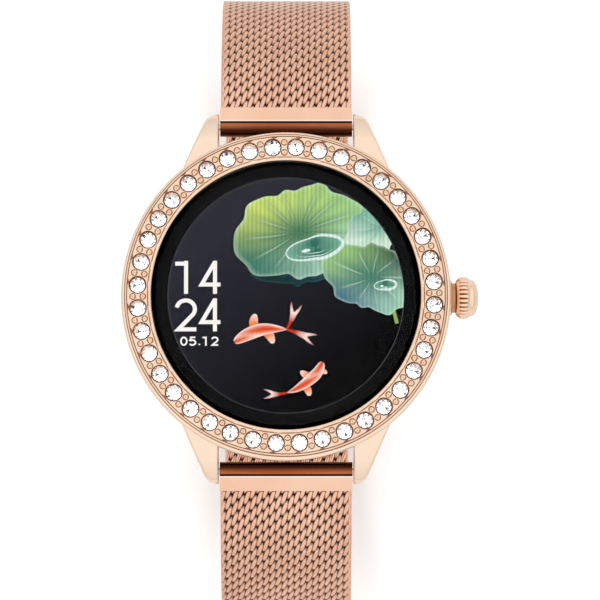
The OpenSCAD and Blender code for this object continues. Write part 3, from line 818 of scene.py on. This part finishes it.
def leaf(shape, hub, width, height, ruffle, seed, corners, heart, vein, veins, z, turn=0.0):
    """A round ruffled leaf: corners holds its colours at the upper left, upper right, lower left
    and lower right, heart its colour at the middle and vein that of its ribs and rim."""
    luck = random.Random(seed)
    phases = [luck.uniform(0, TAU) for _ in range(3)]
    upper_left, upper_right, lower_left, lower_right = corners

    def reach(a):
        base = ellipse_reach(a, width, height, turn)
        wave = (sin(5 * a + phases[0]) + 0.7 * sin(9 * a + phases[1])
                + 0.35 * sin(16 * a + phases[2]))
        return base + ruffle * wave

    def colour(a, q, x, y):
        across_it = smooth(0.5 + 0.62 * (x - hub[0]) / width)
        up = smooth(0.5 + 0.62 * (y - hub[1]) / height)
        tone = mix(mix(lower_left, lower_right, across_it), mix(upper_left, upper_right, across_it), up)
        tone = mix(tone, heart, 0.8 * smooth(1 - q / 0.75))
        fold = 0.5 + 0.5 * sin(veins * a + 2.0 * q + phases[0])
        tone = mix(tone, heart, 0.42 * fold * (1 - q) + 0.12 * fold)
        line = abs(sin(veins * a / 2 + phases[1] + 0.5 * q))
        near = max(0.0, 1 - line / 0.24) * smooth((0.95 - q) / 0.5) * smooth((q - 0.08) / 0.2)
        tone = mix(tone, vein, 0.55 * near)
        return mix(tone, vein, 0.4 * max(0.0, (q - 0.93) / 0.07))

    patch(shape, hub, reach, colour, z, 300)


def droplet(shape, centre, width, height, turn, z):
    """A drop of water: a dark pool with two inner arcs, a bright rim and a gleam."""
    phase = random.Random(5).uniform(0, TAU)
    dark, mid, white = rgb(52, 112, 96), rgb(120, 175, 150), rgb(226, 244, 238)

    def reach(a):
        return ellipse_reach(a, width, height, turn) * (1 + 0.05 * sin(3 * a + phase))

    def colour(a, q, x, y):
        return mix(dark, mid, q ** 2 * 0.8 + 0.35 * sin(2 * a + 1))

    patch(shape, centre, reach, colour, z, 72, 8)
    def rim(a, share=1.0):
        return Vector((centre[0] + share * reach(a) * cos(a),
                       centre[1] + share * reach(a) * sin(a)))

    for share, white_part in ((0.72, 0.65), (0.45, 0.5)):
        inner = [rim(turn + pi * (1.05 + 0.85 * k / 24), share) for k in range(25)]
        ribbon(shape, inner, lambda t: 0.07 * sin(pi * t) + 0.01,
               lambda t, v, part=white_part: mix(mid, white, part), z + 0.5 * LAYER, 2)
    loop = [rim(TAU * k / 72) for k in range(73)]
    band = 0.055 * height + 0.06
    ribbon(shape, loop, lambda t: band * (1.2 + 0.6 * sin(TAU * t + 2)),
           lambda t, v: mix(white, mid, 0.25 * abs(v)), z + LAYER, 2)
    spot = (centre[0] - 0.35 * width * cos(turn), centre[1] - 0.35 * width * sin(turn) - 0.1)
    patch(shape, spot, lambda a: ellipse_reach(a, 0.16 * width, 0.12 * height + 0.05, turn),
          lambda a, q, x, y: white, z + LAYER, 20, 2)


def leaves():
    yellow, lime, teal = rgb(206, 224, 112), rgb(158, 205, 130), rgb(66, 122, 106)
    mint, pale, deep = rgb(176, 220, 194), rgb(214, 238, 216), rgb(48, 104, 78)
    sea, blue, night = rgb(112, 170, 150), rgb(64, 104, 136), rgb(26, 50, 52)
    shape = Shape()
    base = PANEL_Z + LAYER
    ribbon(shape, spline([(14.1, -1.4), (14.6, -2.6), (14.9, -3.8)]), lambda t: 0.24,
           lambda t, v: rgb(150, 176, 96), base, 2)
    leaf(shape, (1.4, 4.0), 6.4, 2.5, 0.2, 9, (night, sea, night, rgb(36, 62, 74)), night, teal, 10,
         base, 0.04)
    leaf(shape, (1.9, 8.5), 9.2, 6.0, 0.34, 3, (yellow, lime, teal, mint), deep, pale, 15,
         base + LAYER, 0.20)
    leaf(shape, (12.6, 9.2), 4.9, 2.9, 0.24, 4, (sea, mint, pale, pale), sea, pale, 9,
         base + 2 * LAYER, 0.3)
    leaf(shape, (11.6, 2.4), 7.0, 4.3, 0.27, 8, (lime, night, blue, mint), teal, pale, 9,
         base + 3 * LAYER, -0.30)
    droplet(shape, (4.0, 6.4), 3.9, 1.5, 0.22, base + 4 * LAYER)
    droplet(shape, (13.4, 1.4), 1.5, 0.66, 0.1, base + 4 * LAYER)
    screen_layer("screen_leaves", shape, "leaf")


def fish(shape, spine, size, z, tails, fins):
    """A small red and white fish seen from above.

    spine runs from its nose to its tail, and tails continue it. A fin is (its place along the
    spine, its direction, its length, its half-width)."""
    red, orange, white = rgb(222, 68, 34), rgb(240, 128, 62), rgb(255, 226, 214)
    body = spline(spine, 10)

    def girth(t):
        return size * (0.95 * sin(pi * min(1, t * 1.02 + 0.02)) ** 0.65 * (1 - 0.62 * t) + 0.05)

    def skin(t, v):
        patchy = 0.5 + 0.5 * sin(9 * t + 2.2 * v + size * 5)
        tone = mix(red, orange, 0.55 * patchy)
        return mix(tone, white, 1.15 * abs(v) ** 2.4 + 0.35 * (patchy > 0.86) + 0.25 * (t > 0.9))

    for at, way, length, broad in fins:
        root = body[int(at * (len(body) - 1))]
        end = root + Vector(way) * length
        elbow = (root + end) / 2 + Vector((-way[1], way[0])) * 0.12 * length
        ribbon(shape, spline([root[:], elbow[:], end[:]], 8),
               lambda t, b=broad: b * (sin(pi * min(1, 0.14 + 0.80 * t)) ** 0.8),
               lambda t, v: mix(orange, white, (t - 0.45) * 2.1), z, 4)
    for tail in tails:
        path = spline([body[-1][:]] + tail, 8)
        ribbon(shape, path, lambda t: size * (0.16 + 0.34 * t ** 1.6 * (1 - 0.15 * t)),
               lambda t, v: mix(mix(red, rgb(120, 28, 24), abs(v)), white, (t - 0.45) * 2.2), z, 4)
        tip, before = path[-1], path[-3]
        way = (tip - before).normalized()
        side = Vector((-way.y, way.x))
        for sign in (1, -1):
            fork = [tip + side * sign * 0.28 * size, tip + (way * 0.5 + side * sign * 0.5) * size,
                    tip + (way * 1.0 + side * sign * 0.62) * size]
            ribbon(shape, spline([f[:] for f in fork], 6), lambda t: size * 0.2 * (1 - t) + 0.01,
                   lambda t, v: mix(white, rgb(170, 60, 60), t * 0.8), z, 2)
    ribbon(shape, body, girth, skin, z + LAYER, 8)


def fishes():
    shape = Shape()
    base = PANEL_Z + LAYER
    fish(shape, [(-6.9, -6.3), (-5.2, -5.3), (-3.2, -4.6), (-1.3, -4.5), (0.1, -4.6)], 1.15, base,
         [[(0.7, -3.4), (1.1, -2.2)], [(1.4, -5.0), (2.9, -5.6)]],
         [(0.42, (-0.05, 1.0), 2.3, 0.62), (0.52, (0.62, -0.78), 2.4, 0.6)])
    fish(shape, [(4.9, -9.0), (4.2, -10.4), (2.9, -11.6), (1.4, -12.6), (0.2, -13.1)], 1.0, base,
         [[(-1.0, -13.3), (-2.0, -13.3)]],
         [(0.35, (-0.93, 0.36), 1.9, 0.5), (0.6, (0.5, -0.87), 1.7, 0.5),
          (0.22, (0.9, -0.35), 1.2, 0.36)])
    screen_layer("screen_fish", shape, "lit")


def stroke(shape, path, half, z):
    """A white stroke of even width with mitred corners."""
    pts = [Vector(p) for p in path]
    left, right = [], []
    for i, p in enumerate(pts):
        into = (p - pts[i - 1]).normalized() if i else (pts[1] - p).normalized()
        out = (pts[i + 1] - p).normalized() if i < len(pts) - 1 else into
        side = Vector((-(into.y + out.y), into.x + out.x)).normalized()
        grow = half / max(0.35, side.dot(Vector((-into.y, into.x))))
        left.append(p + side * grow)
        right.append(p - side * grow)
    count = len(pts)
    points = [(p.x, p.y, z) for p in left + right]
    faces = [(i, count + i, count + i + 1, i + 1) for i in range(count - 1)]
    shape.add(points, faces, None, [rgb(252, 248, 242)] * len(points))


def oval(cx, cy, width, height, angles):
    """Points on an ellipse of these half-sizes at angles in degrees."""
    return [(cx + width * cos(radians(a)), cy + height * sin(radians(a))) for a in angles]


def digit_strokes(digit):
    """Centre lines of a digit in a box one wide and one high."""
    top_arc = oval(0.5, 0.70, 0.5, 0.30, range(170, -41, -15))
    belly = oval(0.42, 0.32, 0.55, 0.32, range(125, -146, -15))
    hoop = oval(0.5, 0.5, 0.5, 0.5, range(90, 451, 20))
    return {
        "0": [hoop],
        "1": [[(0.51, 1.1), (0.51, -0.1)], [(-0.08, 0.97), (0.51, 0.97)]],
        "2": [top_arc + [(0.10, 0.0), (1.08, 0.0)]],
        "4": [[(0.79, -0.1), (0.79, 1.1)], [(0.79, 1.04), (0.06, 0.25), (1.09, 0.25)]],
        "5": [[(0.92, 1.0), (0.16, 1.0), (0.11, 0.58)] + belly],
        ".": [[(0.5, 0.0), (0.5, 0.16)]],
    }[digit]


def number(shape, text, x, y, width, height, gap, half, z):
    """Digits from the lower left corner (x, y), their strokes cut level at the top and the foot."""
    for mark in text:
        step = width if mark != "." else 0.35 * width
        for path in digit_strokes(mark):
            inner = [(x + half + p[0] * (step - 2 * half), y + half + p[1] * (height - 2 * half))
                     for p in path]
            start = len(shape.points)
            stroke(shape, inner, half, z)
            trimmed = [(px, min(max(py, y), y + height), pz) for px, py, pz in shape.points[start:]]
            shape.points[start:] = trimmed
        x += step + gap


def clock():
    """The time in two rows and a small date row under it."""
    shape = Shape()
    z = PANEL_Z + LAYER
    number(shape, "14", -14.95, 0.2, 3.0, 4.45, 0.2, 0.27, z)
    number(shape, "24", -14.95, -4.86, 3.0, 4.45, 0.2, 0.27, z)
    number(shape, "05.12", -14.2, -6.8, 1.0, 1.25, 0.2, 0.11, z)
    screen_layer("screen_numbers", shape, "lit")


# ---- crown ----

def crown_knob():
    """A barrel with tapered grooves between its ribs and a domed cap with two fine rings."""
    ribs, per_rib, steps = 28, 10, 26
    dome_h = 0.95
    cap_x = CROWN_X - dome_h
    cap_r = KNOB_R - 0.4
    mouth_r, mouth_end = 2.2, KNOB_X + 1.0
    groove = 0.40
    dome = [(cap_r * sin(radians(90 - a)), cap_x + dome_h * sin(radians(a)))
            for a in (0, 12, 24, 36, 48, 58, 66, 74, 82, 90)]
    body = [(0.0, mouth_end), (mouth_r - 0.05, mouth_end), (mouth_r, KNOB_X), (KNOB_R - 0.5, KNOB_X),
            (KNOB_R - 0.32, KNOB_X + 0.2)]
    side = []
    for k in range(1, steps + 1):
        barrel = 0.32 * abs(2 * k / steps - 1) ** 3
        side.append((KNOB_R - barrel, KNOB_X + 0.2 + (cap_x - 0.5 - KNOB_X) * k / steps))
    shoulder = [(KNOB_R - 0.36, cap_x - 0.1), (cap_r + 0.03, cap_x - 0.06), (cap_r + 0.02, cap_x - 0.04),
                (cap_r + 0.04, cap_x - 0.12), (cap_r, cap_x - 0.1)]
    rings = [(0.78 * cap_r, 0.02), (0.74 * cap_r, -0.03), (0.52 * cap_r, 0.02), (0.48 * cap_r, -0.03)]
    profile = body + side + shoulder + dome
    segments = ribs * per_rib
    shape = lathe(profile, segments, closed=False)
    count = len(profile)
    tones = [1.0] * len(shape.points)
    for k in range(segments):
        rib = 0.5 + 0.5 * cos(TAU * k / per_rib)
        for i in range(count):
            x, y, z = shape.points[k * count + i]
            r = hypot(x, y)
            if r < cap_r + 0.3 or z > cap_x - 0.1:
                for ring_r, lift in rings:
                    if z > cap_x and abs(r - ring_r) < 0.12:
                        z += lift * 0.6
                shape.points[k * count + i] = (x, y, z)
                continue
            t = min(1.0, max(0.0, (z - KNOB_X) / (cap_x - 0.25 - KNOB_X)))
            narrow = (1 - rib) ** (1.2 + 7 * t ** 2)
            cut = groove * (1 - t ** 5) * narrow
            grow = (r - cut) / r
            shape.points[k * count + i] = (x * grow, y * grow, z)
            # painted shade: darker in the grooves and towards the knob's inner end by the case
            shade = 1 - 0.9 * min(1.0, cut / (0.8 * groove))
            tones[k * count + i] = shade * (0.45 + 0.55 * smooth(t / 0.4))
    shape.paint = [(tone, tone, tone) for tone in tones]
    make("crown_knob_ribbed", shape.moved(CROWN_AXIS), "crown", ["crown_gold"], ["crown_knob"],
         55, weld=0.002)


def crown_tube():
    """The tube in the case's bore, its flange outside and the neck that goes into the knob."""
    hole_r, tube_r, flange_r, neck_r, seal_r = 0.75, CROWN_BORE_R - 0.01, 2.4, 2.0, 1.2
    tube_x, flange_x, neck_x, end_x, seal_x = 19.35, 21.7, 22.35, 23.2, 22.6
    outline = [(hole_r, tube_x), (tube_r, tube_x), (tube_r, flange_x), (flange_r, flange_x),
               (flange_r, neck_x - 0.05), (flange_r - 0.04, neck_x), (neck_r, neck_x),
               (neck_r, end_x - 0.05), (neck_r - 0.05, end_x), (seal_r, end_x), (seal_r, seal_x),
               (hole_r, seal_x)]
    shape = lathe(rounded(outline, 0.04, 2), 96)
    # painted shadow on the flange's edge by the neck, and painted shade over the neck
    recolour(shape, lambda r, z: r > neck_r + 0.05 and z > neck_x - 0.23)
    recolour(shape, lambda r, z: r > neck_r - 0.4 and z > neck_x, 2)
    make("crown_collar", shape.moved(CROWN_AXIS), "head", ["rose_gold", "shadow", "neck_shade"],
         ["crown_tube"], 35)


# ---- strap ----

SLOPE = radians(12)
MESH_START = 2.0  # from the spring bar to the mesh, along the slope
MESH_Y0 = BAR_Y + MESH_START * cos(SLOPE)
MESH_Z0 = BAR_Z - MESH_START * sin(SLOPE)
ARC_R = (LOOP_Y - MESH_Y0) / (1 - sin(SLOPE))
SIDE_Z = MESH_Z0 - ARC_R * cos(SLOPE)


class Run:
    """The middle line of one strap half, measured from its end piece."""

    def __init__(self, side, node):
        self.side = side
        self.flat_z = low(node)[2] + BAND_OUT
        self.tail_y = low(node)[1] if side > 0 else -high(node)[1]
        self.drop_r = SIDE_Z - self.flat_z
        self.first = ARC_R * (pi / 2 - SLOPE)
        self.second = self.drop_r * pi / 2
        self.flat = LOOP_Y - self.drop_r - self.tail_y
        self.length = self.first + self.second + self.flat

    def at(self, s, out):
        """Points at distance s along the run and out millimetres outward, as arrays of y and z."""
        a = np.where(s < self.first, pi / 2 - SLOPE - s / ARC_R,
                     -(np.minimum(s, self.first + self.second) - self.first) / self.drop_r)
        r = np.where(s < self.first, ARC_R, self.drop_r) + out
        cy = np.where(s < self.first, LOOP_Y - ARC_R, LOOP_Y - self.drop_r)
        over = np.maximum(s - self.first - self.second, 0)
        y = cy + r * np.cos(a) - over
        z = SIDE_Z + r * np.sin(a)
        return self.side * y, z


ROW = 0.765  # from one row of links to the next
TURN = 1.68  # from one link of a row to the next
LINK_HALF = 0.98
LINK_OUT = 0.36
FIRST_ROW = -0.065
WIRE_W = 0.365
WIRE_T = 0.30
WIRE_TAPER = 0.40
MESH_FLAT = 0.62
MESH_SIDE = MESH_HALF - 0.2
WIRE_SIDES = 10
PAINT_LOW = 0.38  # the height above the middle where the paint is black, for full painted shade, and white, for none, at PAINT_HIGH
PAINT_HIGH = 0.615
RUN_STEPS = 160


def link_path(half_turns):
    """A flattened spiral: points as (turns done, along the strap, outward)."""
    straight, bend = 4, 4
    inner = LINK_HALF - LINK_OUT
    side = [(inner - 2 * inner * k / straight, LINK_OUT) for k in range(straight)]
    for k in range(bend):
        a = pi / 2 + pi * k / bend
        side.append((-inner + LINK_OUT * cos(a), LINK_OUT * sin(a)))
    path = []
    for half in range(half_turns):
        sign = -1 if half % 2 else 1
        path.extend((half / 2 + k / (2 * len(side)), sign * u, sign * w) for k, (u, w) in enumerate(side))
    return np.array(path)


def weave(run, first_row, last_row, name, body, nodes):
    """Rows of flattened wire spirals, each half a turn aside from its neighbours."""
    columns = int(2 * (MESH_HALF - 0.4) / TURN) + 1
    k = np.arange(WIRE_SIDES)
    ring = 2 * np.pi * (k + 0.5) / WIRE_SIDES
    shape = Shape()
    for row in range(first_row, last_row):
        links = columns + row % 2
        path = link_path(2 * links - 1)
        x = (path[:, 0] - 0.25 - (links - 1) / 2) * TURN * -run.side
        centre = np.stack([x, path[:, 1], path[:, 2]], axis=1)
        way = np.gradient(centre, axis=0)
        way /= np.linalg.norm(way, axis=1, keepdims=True)
        across_x = np.array([1.0, 0, 0]) - way * way[:, :1]
        across_x /= np.linalg.norm(across_x, axis=1, keepdims=True)
        other = np.cross(way, across_x)
        broad = WIRE_W * (1 - WIRE_TAPER * np.abs(path[:, 1] / LINK_HALF) ** 2.5)
        wire = (centre[:, None, :]
                + broad[:, None, None] * np.cos(ring)[None, :, None] * across_x[:, None, :]
                + WIRE_T * np.sin(ring)[None, :, None] * other[:, None, :])
        wire = wire.reshape(-1, 3)
        out = np.clip(wire[:, 2], -MESH_FLAT, MESH_FLAT)
        s = FIRST_ROW + row * ROW + wire[:, 1]
        y, z = run.at(s, out)
        side_x = np.clip(wire[:, 0], -MESH_SIDE, MESH_SIDE)
        # painted shade: the wires darken towards the middle of the weave, where less light reaches
        depth = np.clip((np.abs(out) - PAINT_LOW) / (PAINT_HIGH - PAINT_LOW), 0, 1)
        count = len(path)
        i = np.arange(count - 1)[:, None] * WIRE_SIDES
        a = i + k[None, :]
        b = i + (k[None, :] + 1) % WIRE_SIDES
        quads = np.stack([a, b, b + WIRE_SIDES, a + WIRE_SIDES], axis=2).reshape(-1, 4).tolist()
        first_cap = list(range(WIRE_SIDES - 1, -1, -1))
        last_cap = list(range((count - 1) * WIRE_SIDES, count * WIRE_SIDES))
        shape.add(np.stack([side_x, y, z], axis=1).tolist(), quads + [first_cap, last_cap], None,
                  [(d, d, d) for d in depth.tolist()])
    make(name, shape, body, ["mesh"], nodes, 60, outward=False)


def along(run, section):
    """A section of (x, outward) points swept along the whole run."""
    rings = []
    for k in range(RUN_STEPS + 1):
        ring = []
        for x, out in section:
            y, z = run.at(np.array(run.length * k / RUN_STEPS), out)
            ring.append((x, float(y), float(z)))
        rings.append(ring)
    return loft(rings)


def core(run, name, body, nodes):
    """A dark sheet through the middle of the weave, standing for painted shade where the wires cross out of
    sight.
    """
    half, thick = MESH_HALF - 0.3, 0.04
    section = [(-half, -thick), (half, -thick), (half, thick), (-half, thick)]
    make(name, along(run, section), body, ["core"], nodes, 50)


def edge_bars(run, name, body, nodes):
    """The soldered edges that close the weave at both sides."""
    shape = Shape()
    half, thick = 0.24, 0.56
    bar = rounded([(-half, -thick), (half, -thick), (half, thick), (-half, thick)], 0.2, 3)
    for sx in (1, -1):
        shape.join(along(run, [(sx * (MESH_HALF - 0.28) + x, out) for x, out in bar]))
    shape.paint = [(1.0, 1.0, 1.0)] * len(shape.points)
    make(name, shape, body, ["mesh"], nodes, 50)


def end_piece(side, name, body, node):
    """The bright end piece: a flat top that breaks over the bar into a round knuckle."""
    r = KNUCKLE_R - 0.02
    half_t, length, mouth = 1.0, 2.55, 0.72
    edge_at, edge_z, nose = 0.44, half_t + 0.37, -r + 0.2
    top_points, curve_end = 5, 18
    outline = [(length, half_t), (edge_at + 0.20, edge_z - 0.04), (edge_at + 0.04, edge_z - 0.05),
               (edge_at + 0.02, edge_z - 0.09)]
    outline += curve((edge_at - 0.03, edge_z - 0.03), (nose, edge_z - 0.62), (nose, 0), 14)
    outline += curve((nose, -0.05), (nose, -r + 0.1), (0.1, -r + 0.1), 10)
    outline += [(0.9, -half_t), (length, -half_t), (length, -mouth), (MESH_START, -mouth),
                (MESH_START, mouth), (length, mouth)]
    c, s = cos(SLOPE), sin(SLOPE)
    turned_outline = [(BAR_Y + y * c + z * s, BAR_Z - y * s + z * c) for y, z in outline]
    stations = [-END_HALF, -END_HALF + 0.06, END_HALF - 0.06, END_HALF]
    shape = loft([[(x, side * y, z) for y, z in turned_outline] for x in stations])
    # painted dark reflection: the knuckle darkens below the top's edge, and its underside is half dark
    tones = []
    for y, z in outline:
        copper = min(1.0, max(0.0, (z - 0.86) / 0.34)) if y < edge_at else 1.0
        tones.append((0.5 if z < -0.5 else copper,) * 3)
    shape.paint = tones * len(stations)
    # a painted highlight line where the top breaks, a painted shadow line under it, then a painted
    # copper-toned reflection round the knuckle
    count = len(outline)
    for i, face in enumerate(shape.faces):
        places = sorted(j % count for j in face)
        if len(face) == 4 and 1 <= places[0] <= curve_end - 2 and places[-1] <= curve_end:
            shape.slots[i] = 3 if places[0] == 1 else 2 if places[0] < top_points else 1
    coats = ["end_gold", "end_band_reflection", "shadow", "edge_shine"]
    make(name, shape, body, coats, [node], 24)


def straps():
    upper, lower = Run(1, "upper_mesh"), Run(-1, "lower_mesh")
    for run, side, body in ((upper, "upper", "upper_strap"), (lower, "lower", "lower_strap")):
        node = side + "_mesh"
        rows = int((run.length - 2 * LINK_HALF) / ROW) + 1
        share = -(-rows // 3)
        for k in range(3):
            weave(run, k * share, min(rows, (k + 1) * share), "%s_weave_%d" % (side, k + 1), body, [node])
        edge_bars(run, side + "_weave_edges", body, [node])
        core(run, side + "_weave_core", body, [node])
    end_piece(1, "upper_end_bar", "upper_strap", "upper_end_piece")
    end_piece(-1, "lower_end_bar", "lower_strap", "lower_end_piece")


# ---- CAD nodes that keep their shape ----

KEPT = {
    "rose_gold": ["clasp_cover", "end_ring"],
    "brushed_gold": ["clasp_frame", "clasp_lock", "case_back"],
    "steel": ["cover_pin", "lock_pin", "back_screws", "crown_stem", "crown_clip", "crown_switch",
              "processor_shield", "battery", "vibration_motor"]
             + [half + part for half in ("upper_", "lower_")
                for part in ("bar_tube", "bar_tip", "release_pin", "bar_spring")],
    "plastic": ["mid_frame", "board_chips", "encoder_wheel"],
    "seal": ["display_gasket", "back_gasket", "crown_seal"],
    "board": ["main_board", "sensor_board", "sensor_leds"],
    "copper": ["charge_pads", "display_flex", "radio_antenna"],
    "window": ["sensor_window"],
}
# the width of the softened edges
SOFTENED = {"clasp_cover": 0.18, "end_ring": 0.12, "clasp_frame": 0.15, "clasp_lock": 0.15,
            "case_back": 0.06, "sensor_window": 0.05, "back_screws": 0.04, "battery": 0.2}


def keep_nodes():
    for key, names in KEPT.items():
        for name in names:
            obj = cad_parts[name]
            obj.data.materials.clear()
            obj.data.materials.append(MATERIALS[key])
            if name in SOFTENED:
                weld = obj.modifiers.new("weld", "WELD")
                weld.merge_threshold = 0.001 * MM
                soft = obj.modifiers.new("soft_edges", "BEVEL")
                soft.width = SOFTENED[name] * MM
                soft.segments = 3
                soft.limit_method = "ANGLE"
                soft.angle_limit = radians(35)
                even = obj.modifiers.new("even_normals", "WEIGHTED_NORMAL")
                even.weight = 100
                even.keep_sharp = True


# ---- studio ----

def studio():
    floor_z = cad_box[0][2] / MM
    half = 2500
    corners = [(x * half, y * half, floor_z) for x, y in ((-1, -1), (1, -1), (1, 1), (-1, 1))]
    floor = build("studio_floor", Shape().add(corners, [(0, 1, 2, 3)]), 0.0, False)
    mat, tree, bsdf = shader("pale_floor", Roughness=0.8)
    cloud = noise(tree, object_coords(tree), 0.01, 3.0)
    colour = blend_colours(tree, cloud, (0.90, 0.90, 0.90), (0.94, 0.94, 0.94))
    tree.links.new(colour, bsdf.inputs["Base Color"])
    floor.data.materials.append(mat)
    floor.visible_glossy = False
    backdrop()
    for name, spot, size, power in (("top_light", (-0.25, 0.25, 1.5), 2.4, 21.5),
                                    ("front_light", (0.5, -1.0, 1.0), 1.2, 4.5)):
        lamp = bpy.data.lights.new(name, "AREA")
        lamp.size = size
        lamp.energy = power
        obj = bpy.data.objects.new(name, lamp)
        obj.location = spot
        obj.rotation_euler = Vector(spot).to_track_quat("Z", "Y").to_euler()
        obj.visible_glossy = False
        scene.collection.objects.link(obj)


def backdrop():
    """A grey sky with a darker strip over the horizon, lighter towards both ends of Y."""
    world = bpy.data.worlds.new("studio")
    world.use_nodes = True
    scene.world = world
    tree = world.node_tree
    back = tree.nodes["Background"]
    coords = add_node(tree, "ShaderNodeTexCoord")
    split = add_node(tree, "ShaderNodeSeparateXYZ")
    tree.links.new(coords.outputs["Generated"], split.inputs[0])
    ramp = add_node(tree, "ShaderNodeValToRGB")
    stops = ramp.color_ramp.elements
    stops[0].position, stops[0].color = 0.0, (0.82, 0.82, 0.82, 1)
    stops[1].position, stops[1].color = 0.55, (1, 1, 1, 1)
    for place, grey in ((0.07, 0.42), (0.28, 0.74)):
        stops.new(place).color = (grey, grey, grey, 1)
    tree.links.new(split.outputs["Z"], ramp.inputs[0])
    ends = add_node(tree, "ShaderNodeMath", operation="POWER")
    tree.links.new(split.outputs["Y"], ends.inputs[0])
    ends.inputs[1].default_value = 2.0
    share = add_node(tree, "ShaderNodeMath", operation="MULTIPLY")
    tree.links.new(ends.outputs[0], share.inputs[0])
    share.inputs[1].default_value = 0.55
    sky = blend_colours(tree, share.outputs[0], ramp.outputs["Color"], (1, 1, 1))
    tree.links.new(sky, back.inputs["Color"])
    back.inputs["Strength"].default_value = 1.0


def camera():
    """The photograph's view: from far off and tilted a little towards 6 o'clock."""
    distance, tilt = 635.0, radians(5)
    view_width = 80.4
    target = Vector((1.88, -0.74, BEZEL_TOP))
    lens = bpy.data.cameras.new("photo_view")
    lens.sensor_width = 36.0
    lens.lens = lens.sensor_width * distance / view_width
    lens.clip_start = 0.01
    lens.clip_end = 20.0
    cam = bpy.data.objects.new("photo_view", lens)
    away = Vector((0, -sin(tilt), cos(tilt)))
    cam.location = (target + away * distance) * MM
    cam.rotation_euler = (tilt, 0, 0)
    scene.collection.objects.link(cam)
    scene.camera = cam


camera()
studio()
case_middle()
bezel()
stones()
cover_glass()
display_body()
screen_ground()
leaves()
fishes()
clock()
crown_knob()
crown_tube()
straps()
keep_nodes()
scene.view_settings.view_transform = "Standard"
